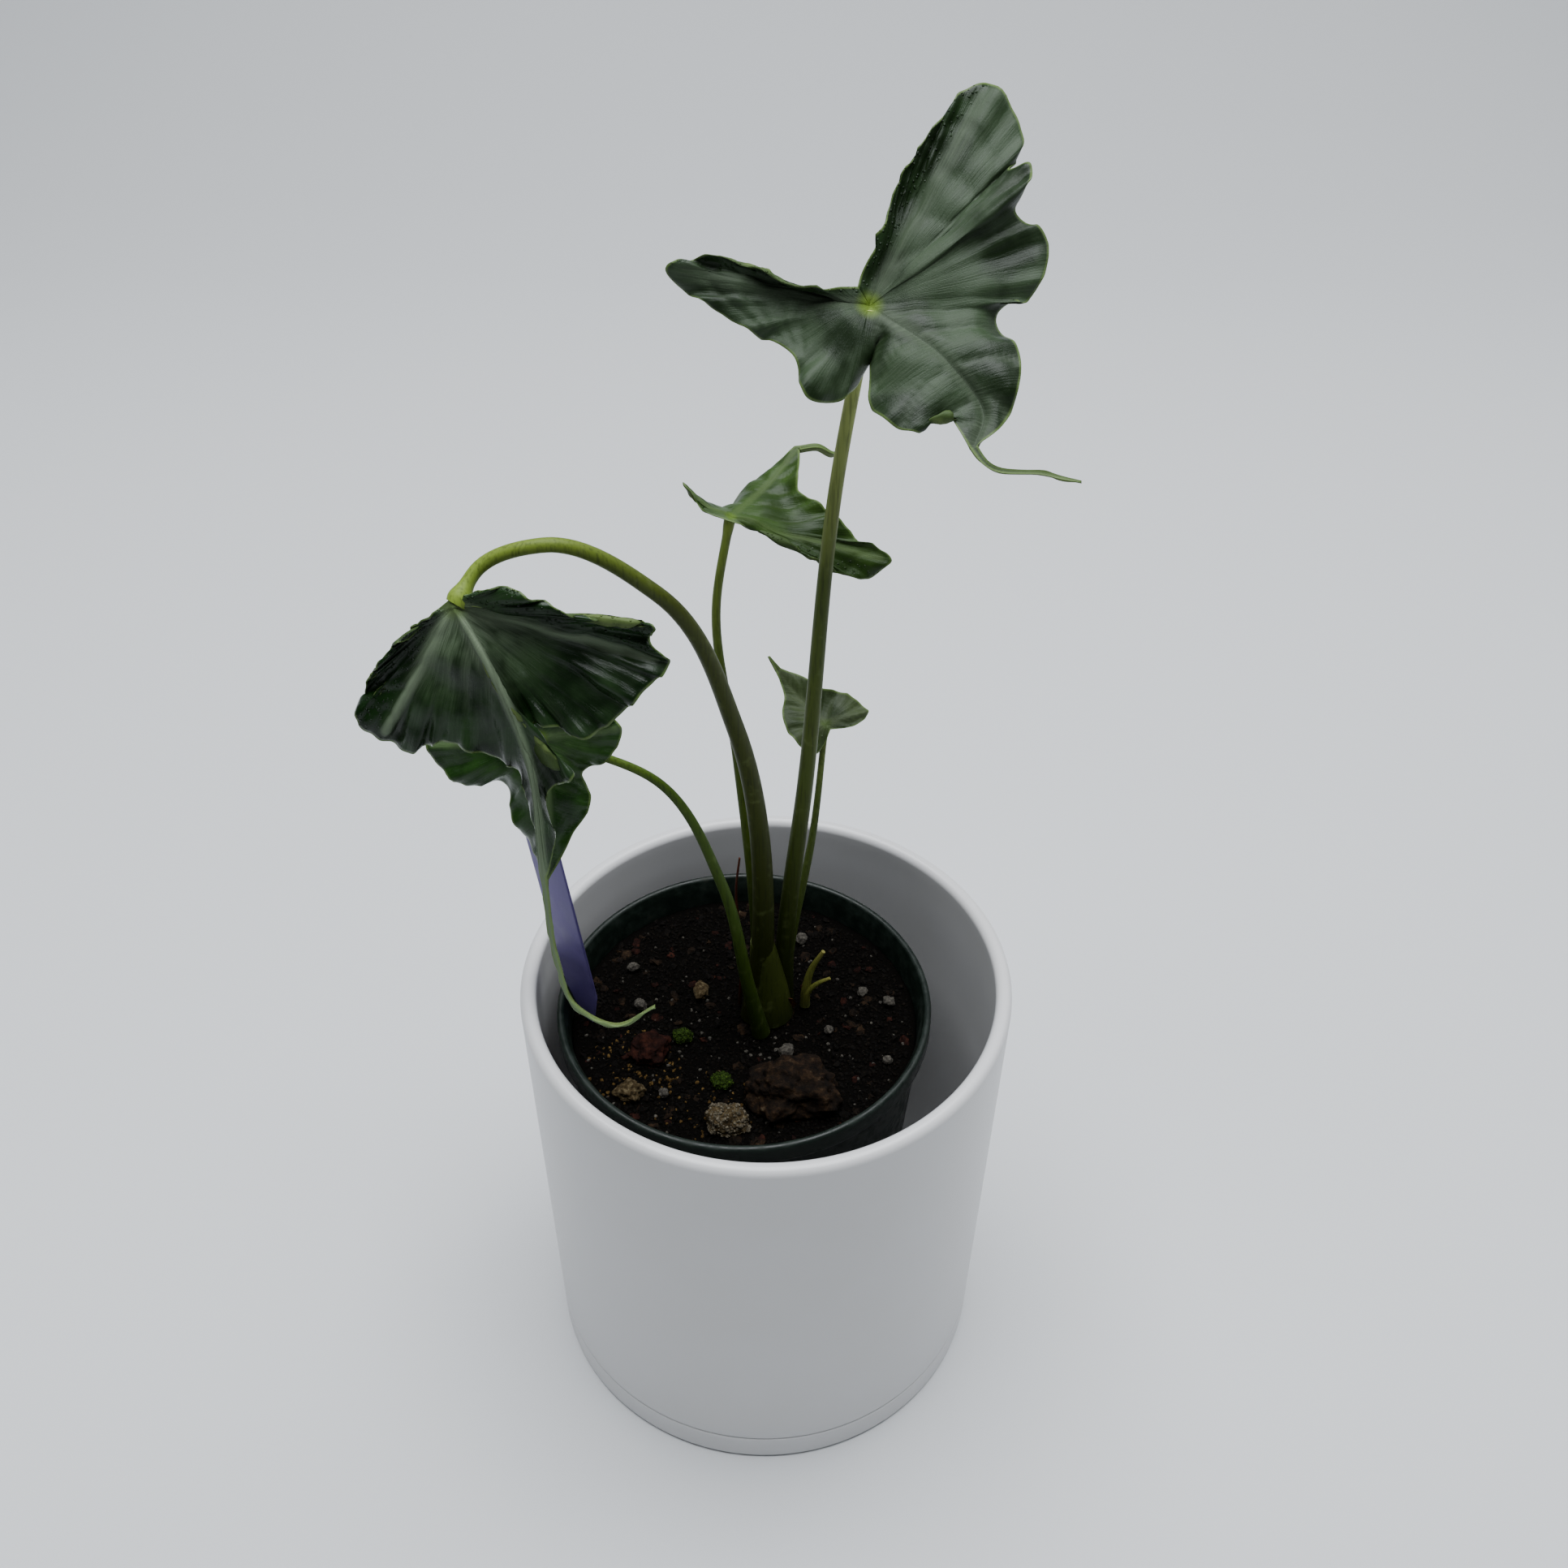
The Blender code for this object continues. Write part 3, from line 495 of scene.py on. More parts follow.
def growers_pot():
    """The thin pot with its rolled lip, turned, and drilled round its floor."""
    low, high = nursery_low[2], nursery_top
    body = nursery_rim - NURSERY_LIP
    base = body - NURSERY_TAPER
    thin = NURSERY_WALL

    def radius(z):
        """The outer radius of the tapered body at a height."""
        return base + (body - base) * (z - low) / (high - low)

    lip_low = high - LIP_HEIGHT
    profile = [(MIDDLE_HOLE, low), *arc((base - 1.5, low + 1.5), 1.5, -90, 0, 4)]
    profile += rise((radius(low + 3), low + 3), (radius(lip_low) - 0.1, lip_low - 0.6), 12)
    profile += [(radius(lip_low) + 0.1, lip_low)]
    profile += arc((nursery_rim - 0.5, lip_low + 0.5), 0.5, -90, 0, 3)
    profile += arc((nursery_rim - LIP_ROLL, high - LIP_ROLL), LIP_ROLL, 0, 180, 10)
    profile += [(radius(high) - thin + 0.1, high - 2.4), (radius(high) - thin, high - 3.2)]
    profile += rise((radius(high - 4) - thin, high - 4), (radius(low + 3) - thin, low + 3), 12)
    profile += [(radius(low) - thin - 1.0, low + thin), (MIDDLE_HOLE, low + thin)]
    bm = turned(profile, 160, True)
    bmesh.ops.translate(bm, vec=(nursery_x, nursery_y, 0), verts=bm.verts)
    made = placed_in_scene("growers_pot", mesh_of(bm, "growers_pot"))
    drill = bmesh.new()
    for i in range(HOLE_COUNT):
        angle = math.radians(60 * i + 30)
        spot = Vector((nursery_x + (base - HOLE_INSET) * math.cos(angle),
                       nursery_y + (base - HOLE_INSET) * math.sin(angle), low))
        bmesh.ops.create_cone(drill, cap_ends=True, segments=32, radius1=HOLE_RADIUS,
                              radius2=HOLE_RADIUS, depth=8.0, matrix=Matrix.Translation(spot))
    drill_piece = placed_in_scene("drill", mesh_of(drill, "drill"))
    holes = made.modifiers.new("drain_holes", "BOOLEAN")
    holes.operation = "DIFFERENCE"
    holes.solver = "EXACT"
    holes.object = drill_piece
    mesh = plain_mesh(made, "growers_pot")
    bpy.data.objects.remove(made)
    bpy.data.objects.remove(drill_piece)
    piece("growers_pot", mesh, nursery_plastic, "nursery_plastic", "nursery_pot")


growers_pot()

# %% [markdown]
# ## Potting mix
#
# The mix is peat, bark and perlite. Its body is a solid that fills the grower's pot, and its
# surface is lumpy at three scales, from low mounds about a centimetre across down to grit of a
# millimetre. The loose grains on top are made further down, by scattering.

# %% Dark soil, darkened further as painted shade
soil_finish, tree, shader = finish_material("moist_potting_mix", Specular_IOR_Level=0.04)
place = texture_place(tree, 1.0)
crumbs = noise_at(tree, place, scale=0.9, detail=6.0, roughness=0.7)
# The colours run nearly to black: dark peat by nature, darkened further as painted shade where the leaves
# and the pot's walls shade the soil.
paint(tree, shader, ramp(tree, crumbs, (0.35, "020100"), (0.55, "040302"), (0.72, "100b07")))
tree.links.new(remap(tree, crumbs, 0.35, 0.7, 0.7, 0.95), shader.inputs["Roughness"])
bump(tree, shader, crumbs, 0.7)

# %% The body of soil


def ground(x, y):
    """How far the soil's surface lies below its level, in millimetres."""
    mounds = noise.noise(Vector((x / 11.0, y / 11.0, 3.0)))
    lumps = noise.noise(Vector((x / 3.4, y / 3.4, 7.0)))
    grit = noise.noise(Vector((x / 1.1, y / 1.1, 9.0)))
    return 0.7 - 0.55 * mounds - 0.45 * lumps - 0.22 * grit


SOIL_TAPER = 9.0
SOIL_RINGS = 84


def soil_body():
    """A tapered plug of soil, whose top is let down to the lumpy ground."""
    low = soil_low[2]
    foot = soil_radius - SOIL_TAPER
    rings = SOIL_RINGS
    profile = [(0.0, low), *rise((foot - 0.5, low), (foot, low), 2)]
    profile += rise((foot, low + 0.5), (soil_radius, soil_top - 1.2), 8)
    profile += [(soil_radius * (rings - i) / rings, soil_top) for i in range(rings)]
    profile += [(0.0, soil_top)]
    bm = turned(profile, 220, False)
    bmesh.ops.translate(bm, vec=(nursery_x, nursery_y, 0), verts=bm.verts)
    for vert in bm.verts:
        if vert.co.z > soil_top - 0.001:
            vert.co.z -= ground(vert.co.x, vert.co.y)
    return mesh_of(bm, "potting_mix", 180.0)


piece("potting_mix", soil_body(), soil_finish, "soil", "potting_soil")

# %% [markdown]
# ## Stems
#
# A stem is a tube that follows a path and tapers, so Geometry Nodes make it: a circle is swept
# along a smooth curve, whose points carry the radius. The sweep also stores how far along the
# stem each point lies, from 0 at the soil to 1 at the leaf, because the colour follows it: dark
# olive at the foot, partly the stem's own colour and partly painted shade of the pot's inside,
# and light yellow-green where the young tissue bends at the leaf.

# %% Stem finish


def stem_finish(name, foot, middle, top, top_starts):
    """Smooth living stem: waxy, with faint lengthwise streaks. Its three colours run from the soil to
    the leaf, and the top one comes in from a share of the way up. On the leaf stems the dark foot
    colour is partly painted shade of the pot's inside."""
    made, tree, shader = finish_material(name, Roughness=0.48, Specular_IOR_Level=0.15)
    along = attribute(tree, "along")
    place = texture_place(tree, 1.0)
    streak_place = node(tree, "ShaderNodeMapping", Vector=place, Scale=(1.6, 1.6, 0.09))
    streaks = noise_at(tree, streak_place.outputs["Vector"], detail=3.0)
    mottle = noise_at(tree, place, scale=0.3, detail=4.0)
    ground_colour = ramp(tree, along, (0.0, foot), (0.4, middle), (top_starts, middle), (1.0, top))
    darker = mix(tree, remap(tree, streaks, 0.45, 0.75, 0.0, 0.45), ground_colour, srgb("10160a"))
    paler = mix(tree, remap(tree, mottle, 0.55, 0.8, 0.0, 0.25), darker, srgb("6a7645"))
    paint(tree, shader, paler)
    bump(tree, shader, streaks, 0.05)
    return made


# The foot colours of the leaf stems are dark partly by nature and partly as painted shade of the pot's
# inside.
stem_finishes = {
    "stem_top": stem_finish("waxy_green_stem", "0d1202", "3b4813", "a3b062", 0.68),
    "stem_drooping": stem_finish("olive_stem", "131702", "323a0a", "6f8431", 0.72),
    "stem_low": stem_finish("slim_green_stem", "1c2706", "34490f", "5d752a", 0.75),
    "stem_back": stem_finish("back_stem", "1c2706", "3a4a0c", "66782a", 0.7),
    "stem_small": stem_finish("small_stem", "1f2a08", "3c4a1c", "5f6d38", 0.75),
}

# %% [markdown]
# The tree below takes a curve and three named inputs: how far apart its rings are, how many
# sides it has, and its material. It is used for every stem, the sheath and the thin root.

# %% A tree that sweeps a stem


def new_tree(name, *sockets):
    """An empty geometry node tree with named inputs, each (name, socket type, default)."""
    tree = bpy.data.node_groups.new(name, "GeometryNodeTree")
    tree.interface.new_socket("Geometry", in_out="INPUT", socket_type="NodeSocketGeometry")
    for socket_name, kind, default in sockets:
        socket = tree.interface.new_socket(socket_name, in_out="INPUT", socket_type=kind)
        if default is not None:
            socket.default_value = default
    tree.interface.new_socket("Geometry", in_out="OUTPUT", socket_type="NodeSocketGeometry")
    return tree, tree.nodes.new("NodeGroupInput"), tree.nodes.new("NodeGroupOutput")


def stem_tree():
    """Rings along a curve, as wide as its own radius, joined to a closed tube."""
    tree, given, result = new_tree(
        "swept_stem",
        ("Ring Spacing", "NodeSocketFloat", 0.001),
        ("Sides", "NodeSocketInt", 32),
        ("Material", "NodeSocketMaterial", None),
    )
    path = node(tree, "GeometryNodeResampleCurve", {"mode": "LENGTH"},
                Curve=given.outputs["Geometry"], Length=given.outputs["Ring Spacing"])
    share = node(tree, "GeometryNodeSplineParameter").outputs["Factor"]
    marked = node(tree, "GeometryNodeStoreNamedAttribute",
                  {"data_type": "FLOAT", "domain": "POINT"}, Geometry=path.outputs["Curve"],
                  Name="along", Value=share)
    circle = node(tree, "GeometryNodeCurvePrimitiveCircle", Resolution=given.outputs["Sides"],
                  Radius=1.0)
    radius = node(tree, "GeometryNodeInputRadius").outputs["Radius"]
    swept = node(tree, "GeometryNodeCurveToMesh", Curve=marked.outputs["Geometry"],
                 Profile_Curve=circle.outputs["Curve"], Scale=radius, Fill_Caps=True)
    smooth = node(tree, "GeometryNodeSetShadeSmooth", Geometry=swept.outputs["Mesh"])
    real = node(tree, "GeometryNodeRealizeInstances", Geometry=smooth.outputs["Geometry"])
    dressed = node(tree, "GeometryNodeSetMaterial", Geometry=real.outputs["Geometry"],
                   Material=given.outputs["Material"])
    tree.links.new(dressed.outputs["Geometry"], result.inputs["Geometry"])
    return tree


def grown(source, tree, name, **inputs):
    """Runs a tree on an object and returns the result as a plain mesh."""
    modifier = source.modifiers.new(name, "NODES")
    modifier.node_group = tree
    for item in tree.interface.items_tree:
        key = item.name.replace(" ", "_")
        if item.item_type == "SOCKET" and item.in_out == "INPUT" and key in inputs:
            modifier[item.identifier] = inputs[key]
    mesh = plain_mesh(source, name)
    bpy.data.objects.remove(source)
    return mesh


def swept_stem(name, path, diameters, material, slot, *replaced, spacing=0.0012, sides=32):
    """Sweeps a stem along (x, y, height above the soil) points with a diameter at each."""
    curve = bpy.data.curves.new(name, "CURVE")
    curve.dimensions = "3D"
    spline = curve.splines.new("POLY")
    spline.points.add(len(path) - 1)
    for point, (x, y, height), diameter in zip(spline.points, path, diameters):
        point.co = (x * MM, y * MM, (soil_top + height) * MM, 1.0)
        point.radius = diameter / 2 * MM
    mesh = grown(placed_in_scene(name, curve), swept, name, Ring_Spacing=spacing, Sides=sides,
                 Material=material)
    piece(name, mesh, material, slot, *replaced)


swept = stem_tree()

# %% [markdown]
# ## Where the stems and leaves go
#
# The stems rise close together from the crown. Each has its foot's (x, y), its bends as (x, y,
# height above the soil), and a diameter at base and tip. A knee is the swollen joint that bends
# a stem at its leaf. The drooping stem carries a heavy leaf and has bent over in an arch.
#
# An alocasia leaf is an arrowhead: two back lobes behind the joint, and a front lobe that runs
# out into a tail. These are twisted and ruffled, so each has an outline of its own. A leaf has
# its own frame, with the joint at its origin, y along the midrib and z out of its upper face.
# Each half of an outline starts at the notch above the stem. The lobe's points go round the back
# lobe, whose ribs fan out from the joint, and the front's go on to the tail's root. A point is
# (x, y, z, belly), where belly bows its rib up from flat. Ruffle is the height of the waves
# along the margin, wave is their length, and crest is how high the midrib stands.

# %% Stem shapes
STEMS = {
    "stem_top": {"foot": (4.6, 6.6), "bends": [(5.5, 6.5, 30), (10, 6.5, 85), (16, 8, 176)],
                 "base": 5.5, "tip": 3.0, "knee": 0.15},
    "stem_drooping": {"foot": (-3, 2.4), "base": 7.0, "tip": 3.1, "knee": 0.7,
                      "bends": [(-1, 3, 35), (-8, -2, 110), (-25, -13, 156), (-48, -21, 173),
                                (-62, -22, 168)]},
    "stem_low": {"foot": (-1.6, -4.6), "bends": [(-5, -5.5, 20), (-12, -6.5, 61), (-27, -7, 96)],
                 "base": 4.1, "tip": 2.0, "knee": 0.25},
    "stem_back": {"foot": (-2.4, 10.4), "bends": [(-3, 12, 25), (-8, 17, 85), (-13, 22, 130)],
                  "base": 3.5, "tip": 2.2, "knee": 0.3},
    "stem_small": {"foot": (5, 12.6), "bends": [(7, 13.5, 20), (13, 20, 57)],
                   "base": 3.3, "tip": 1.7, "knee": 0.2},
}

# %% Leaf shapes
LEAVES = {
    "leaf_top": {
        "joint": (21, 4, 216), "along": (0.55, -0.6, -0.55), "face": (-0.1, -0.7, 0.7),
        "midrib": [(0, 0, 0), (-6, 20, 2), (-6, 33, 0), (0, 38, 3)],
        "tail": [(0, 42, 3), (-9, 50, 0), (-14, 56, 1)],
        "notch": (0, -4, 2), "ruffle": 1.2, "wave": 11, "crest": -0.35,
        "minus_x": {
            "lobe": [(-15, -14, 4, 0), (-34, -24, 2, -1), (-47, -26, 0, 0), (-46, -10, -2, 2),
                     (-40, -7, 0, 1), (-43, -4, 4, 0), (-41, -1, 6, 0), (-36, 1, 1, 0),
                     (-39, 8, -3, -1), (-30, 17, -3, 2)],
            "front": [(-22, 16, -5, 0), (-20, 26, -1, 2), (-8, 37, 0, 1)],
        },
        "plus_x": {
            "lobe": [(8, -8, 4, 0), (22, -28, 2, -2), (30, -32, 0, -1), (25, -15, -2, 3),
                     (19, 0, -1, 2), (22, 9, 1, 2), (14, 13, -3, 2)],
            "front": [(4, 7, -4, 0), (12, 18, 1, 4), (9, 28, 3, 3), (1, 29, 3, 1)],
        },
    },
    "leaf_drooping": {
        "joint": (-67, -28, 162), "along": (0.2, -0.2, -0.95), "face": (-0.05, -1.0, 0.2),
        "midrib": [(0, 0, 0), (-4, 10, 4), (-7, 35, 4), (-2, 67, 3)],
        "tail": [(1, 90, 3), (0, 104, 3), (-8, 111, 3), (-19, 107, 3)],
        "notch": (0, -2, 0), "ruffle": 1.4, "wave": 8, "crest": 1.0,
        "minus_x": {
            "lobe": [(-12, -3, 2, 2), (-26, 6, 2, 1), (-36, 10, 0, 0), (-42, 11, 3, 0),
                     (-39, 16, -2, -1), (-42, 22, -3, -3), (-36, 26, 1, -4),
                     (-31, 30, -1, -4)],
            "front": [(-21, 34, 3, -2), (-10, 29, 2, 0), (-9, 38, 1, 0), (-16, 42, 5, 0),
                      (-8, 47, 1, 0), (-6, 60, 1, 0)],
        },
        "plus_x": {
            "lobe": [(10, 3, 1, 0), (22, 11, 0, 0), (27, 17, -3, 1), (30, 23, -1, 1),
                     (27, 28, -2, 2), (20, 32, 0, 3)],
            "front": [(11, 30, 2, 2), (4, 34, 2, 0), (-1, 39, 1, 0), (-3, 50, 1, 0)],
        },
    },
    "leaf_low": {
        "joint": (-55, -13, 115), "along": (0.0, -0.3, -0.95), "face": (-0.05, -0.95, 0.3),
        "midrib": [(0, 0, 0), (-2, 14, 3), (0, 37, 2)],
        "tail": [(0, 48, 0)],
        "notch": (2, -7, 0), "ruffle": 1.1, "wave": 8, "crest": 0.5,
        "minus_x": {
            "lobe": [(-9, -8, 2, 1), (-20, -3, 0, 0), (-15, 7, -3, 1)],
            "front": [(-10, 10, -4, 1), (-12, 15, -1, 2), (-7, 26, -1, 2)],
        },
        "plus_x": {
            "lobe": [(12, -3, 1, 1), (28, 2, -1, 1), (19, 13, 0, 4)],
            "front": [(9, 14, -2, 2), (8, 20, 0, 2), (3, 30, -1, 1)],
        },
    },
    "leaf_back": {
        "joint": (-9, 22, 156), "along": (0.5, 0.85, 0.1), "face": (0.3, -0.25, 0.9),
        "midrib": [(0, 0, 0), (0, 20, -2), (0, 31, 2)],
        "tail": [(4, 34, 4), (8, 38, 2), (5, 44, 5)],
        "notch": (0, -2, 0), "ruffle": 0.8, "wave": 9, "crest": -0.3,
        "minus_x": {
            "lobe": [(-7, -3, 0, 0), (-14, -1, 1, 0), (-9, 5, -8, 0)],
            "front": [(-6, 10, -10, 0), (-4, 20, -8, 0)],
        },
        "plus_x": {
            "lobe": [(8, 2, -1, 0), (24, 6, -1, -1), (34, 12, -4, 0), (37, 19, 0, -1),
                     (26, 17, 2, -2)],
            "front": [(16, 18, 3, -3), (8, 19, 2, -1), (4, 26, 2, 0)],
        },
    },
    "leaf_small": {
        "joint": (16, 30, 87), "along": (-0.65, 0.6, 0.45), "face": (0.1, -0.55, 0.85),
        "midrib": [(0, 0, 0), (0, 9, -1), (0, 20, 1)],
        "tail": [(0, 24, 3)],
        "notch": (0, -2, 0), "ruffle": 0.6, "wave": 7, "crest": -0.2,
        "minus_x": {
            "lobe": [(-7, -5, -2, 0), (-10, 1, 0, 2)],
            "front": [(-8, 9, 0, 1), (-3, 14, -1, 0)],
        },
        "plus_x": {
            "lobe": [(5, -5, 0, 0), (12, -5, -1, 1), (10, 3, 1, -1)],
            "front": [(6, 9, 0, -2), (4, 15, 0, 1)],
        },
    },
}

# %% Frames for the leaves


def leaf_frame(leaf):
    """The joint above the soil and the leaf's x, y and z axes as rows."""
    y_axis = np.array(leaf["along"]) / np.linalg.norm(leaf["along"])
    z_axis = np.array(leaf["face"]) - np.dot(leaf["face"], y_axis) * y_axis
    z_axis = z_axis / np.linalg.norm(z_axis)
    return np.array(leaf["joint"], float), np.array([np.cross(y_axis, z_axis), y_axis, z_axis])


# %% The stems
FOOT_SWELL = 0.35  # how much wider a stem is at its very foot, as a share
FOOT_REACH = 12.0
KNEE_LENGTH = 2.4
KNEE_BEFORE_END = 1.5
STEM_TAPER = 1.35
STEM_FOOT = 0.4
JOINT_DEPTH = 0.9  # how far below the blade's face a stem ends


def stem_path(shape, end):
    """The route from the crown to an end, with a diameter at each of its points."""
    path = smooth_path([(*shape["foot"], STEM_FOOT)] + shape["bends"] + [end], 16)
    done = lengths_along(path)
    swell = 1 + FOOT_SWELL * np.exp(-path[:, 2] / FOOT_REACH)
    knee = 1 + shape["knee"] * np.exp(-((done[-1] - done - KNEE_BEFORE_END) / KNEE_LENGTH) ** 2)
    taper = shape["tip"] + (shape["base"] - shape["tip"]) * (1 - done / done[-1]) ** STEM_TAPER
    return path, taper * swell * knee


for name, shape in STEMS.items():
    joint, axes = leaf_frame(LEAVES[name.replace("stem", "leaf")])
    path, diameters = stem_path(shape, tuple(joint - JOINT_DEPTH * axes[2]))
    swept_stem(name + "_stalk", path, diameters, stem_finishes[name], "stem", name)

# %% [markdown]
# ## Leaf blades
#
# A blade could be a flat outline that is bent afterwards, but its ribs matter too much: the pale
# bands, the streaks and the folds all follow them. So we sweep it rib by rib. Every rib is a bow
# from its root, on the joint or the midrib, to its point on the margin, and a place on the blade
# is given by its rib and by how far out along the rib it lies.
#
# The waves along the margin are a sum of three sines of unrelated length, which never repeats,
# and they fade towards the midrib. Then the blade gets relief along its normals: main veins,
# side veins, and the cushions between them.

# %% Ribs and margins
LOBE_STEPS = 16  # ribs to each span between two points of a lobe
FRONT_RIBS = 84
RIB_GATHER = 1.3  # above 1, ribs crowd towards the joint
ACROSS = 40  # steps along a rib
TAIL_HALF_WIDTH = 0.8
TAIL_STEPS = 12


def half_ribs(leaf, side, sign):
    """One half's ribs as arrays of roots, bellies and edges, and where its lobe's tip lies."""
    half = leaf[side]
    midrib = smooth_path(leaf["midrib"], 24)
    tail = smooth_path(leaf["midrib"][-1:] + leaf["tail"], TAIL_STEPS)
    end = midrib[-1]
    tail_root = (end[0] + sign * TAIL_HALF_WIDTH, end[1], end[2], 0)
    margin = smooth_path([(*leaf["notch"], 0)] + half["lobe"] + half["front"] + [tail_root],
                         LOBE_STEPS)
    shoulder = len(half["lobe"]) * LOBE_STEPS
    shares = np.arange(1, FRONT_RIBS + 1) / FRONT_RIBS
    front = along_path(margin[shoulder:], shares)
    ahead = np.diff(tail, axis=0)
    aside = np.cross(ahead, (0.0, 0.0, 1.0))
    aside = sign * aside / np.linalg.norm(aside, axis=1)[:, None]
    fade = 1 - 0.7 * np.arange(1, len(tail)) / (len(tail) - 1)
    lobe = margin[:shoulder + 1]
    roots = np.vstack([np.tile(midrib[0], (len(lobe), 1)),
                       along_path(midrib, shares ** RIB_GATHER), tail[1:]])
    edges = np.vstack([lobe[:, :3], front[:, :3],
                       tail[1:] + TAIL_HALF_WIDTH * aside * fade[:, None]])
    bellies = np.concatenate([lobe[:, 3], front[:, 3], np.zeros(len(tail) - 1)])
    reach = np.linalg.norm(lobe[:, :3], axis=1)
    return roots, bellies, edges, int(np.argmax(reach)), len(lobe)


def ruffle_wave(done, leaf, seed):
    """The height of the margin's waves at distances along it, from about -1 to 1."""
    turn = math.tau * done / leaf["wave"]
    return (0.6 * np.sin(turn + seed) + 0.35 * np.sin(1.73 * turn + 2.1 * seed + 1.0)
            + 0.3 * np.sin(0.57 * turn + 0.6 * seed))


def evened(values, share):
    """Values along the margin, evened out over two of its spans, by a share at each place."""
    width = 2 * LOBE_STEPS
    padded = np.pad(values, width, mode="edge")
    even = np.convolve(padded, np.hanning(2 * width + 1) / width, "valid")
    return values * (1 - share) + even * share


def half_surface(leaf, side, sign):
    """One half as a grid of points, rib by rib, with what is known of each point. The margin's
    own ups and downs stay near the margin, and the blade inside them is evened out."""
    roots, bellies, edges, tip, lobe_count = half_ribs(leaf, side, sign)
    u = np.linspace(0, 1, ACROSS + 1)[None, :, None]
    done = lengths_along(edges)
    reach = np.linalg.norm(edges - roots, axis=1)
    wide = np.clip((reach - 3) / 6, 0, 1)
    inside = edges.copy()
    inside[:, 2] = evened(edges[:, 2], wide)
    bows = roots + (inside - roots) * (0.5, 0.5, 0.2)
    bows[:, 2] += evened(bellies, wide)
    points = (roots[:, None] * (1 - u) ** 2 + 2 * u * (1 - u) * bows[:, None]
              + inside[:, None] * u ** 2 + (edges - inside)[:, None] * u ** 5)
    calm = np.clip(reach / 10.0, 0, 1) * np.clip(done / 12.0, 0, 1)
    wave = leaf["ruffle"] * calm * ruffle_wave(done, leaf, 1.0 + sign)
    points[..., 2] += wave[:, None] * u[..., 0] ** 3.5
    known = {
        "around": np.broadcast_to(done[:, None], points.shape[:2]),
        "out": reach[:, None] * u[..., 0],
        "edge": reach[:, None] * (1 - u[..., 0]),
        "inner": np.broadcast_to(np.where(np.arange(len(roots)) < tip, 1.0, 0.0)[:, None],
                                 points.shape[:2]),
    }
    return points, known, tip, lobe_count


print("a half has about", LOBE_STEPS * 6 + FRONT_RIBS, "ribs of", ACROSS, "steps")

# %% Veins
SIDE_VEIN_SHARES = (0.1, 0.27, 0.45, 0.63, 0.8)
COSTA_BRANCHES = (0.2, 0.4, 0.6, 0.8)


def vein_lines(points, tip, lobe_count):
    """A half's main vein into its lobe and its side veins, as lists of points on the blade."""
    last = len(points) - 1

    def on_blade(rib, share):
        """Points of the grid at these ribs and shares of the way out."""
        rib = np.clip(rib, 0, last).astype(int)
        column = np.clip(share * ACROSS, 0, ACROSS).astype(int)
        return points[rib, column]

    run = np.linspace(0, 1, 60)
    costa = on_blade(np.full(60, tip), run * 0.94)
    sides = []
    for share in SIDE_VEIN_SHARES:
        rib = lobe_count + share * FRONT_RIBS
        sides.append(on_blade(rib + 7 * run ** 2, run * 0.93))
    for share in COSTA_BRANCHES:
        for way in (-1, 1):
            room = tip if way < 0 else lobe_count - tip
            sides.append(on_blade(tip + way * room * 0.55 * run ** 0.8 * (1 - 0.5 * share),
                                  share + (0.93 - share) * run))
    return costa, sides


def nearest(points, lines):
    """Each point's distance to the nearest of several lines."""
    flat = points.reshape(-1, 3)
    best = np.full(len(flat), 1e9)
    for line in lines:
        for start in range(0, len(line), 20):
            part = line[start:start + 20]
            gap = np.linalg.norm(flat[:, None] - part[None], axis=2).min(axis=1)
            best = np.minimum(best, gap)
    return best.reshape(points.shape[:-1])


def grid_normals(points):
    """Unit normals of a grid of points, with z up where the grid closes to one point."""
    over = np.gradient(points, axis=0)
    out = np.gradient(points, axis=1)
    normals = np.cross(out, over)
    size = np.linalg.norm(normals, axis=2, keepdims=True)
    return np.where(size > 1e-9, normals / np.maximum(size, 1e-9), np.array([0.0, 0.0, 1.0]))


# %% A whole leaf
BLADE = 0.45  # thickness
MIDRIB_BELOW = 1.3  # how far the midrib stands out underneath
COSTA_CREST = 0.35
SIDE_VEIN_DIP = 0.3
CUSHION = 0.4  # how high the blade domes between its side veins
UNEVENNESS = 1.5
UNEVEN_SIZE = 9.0


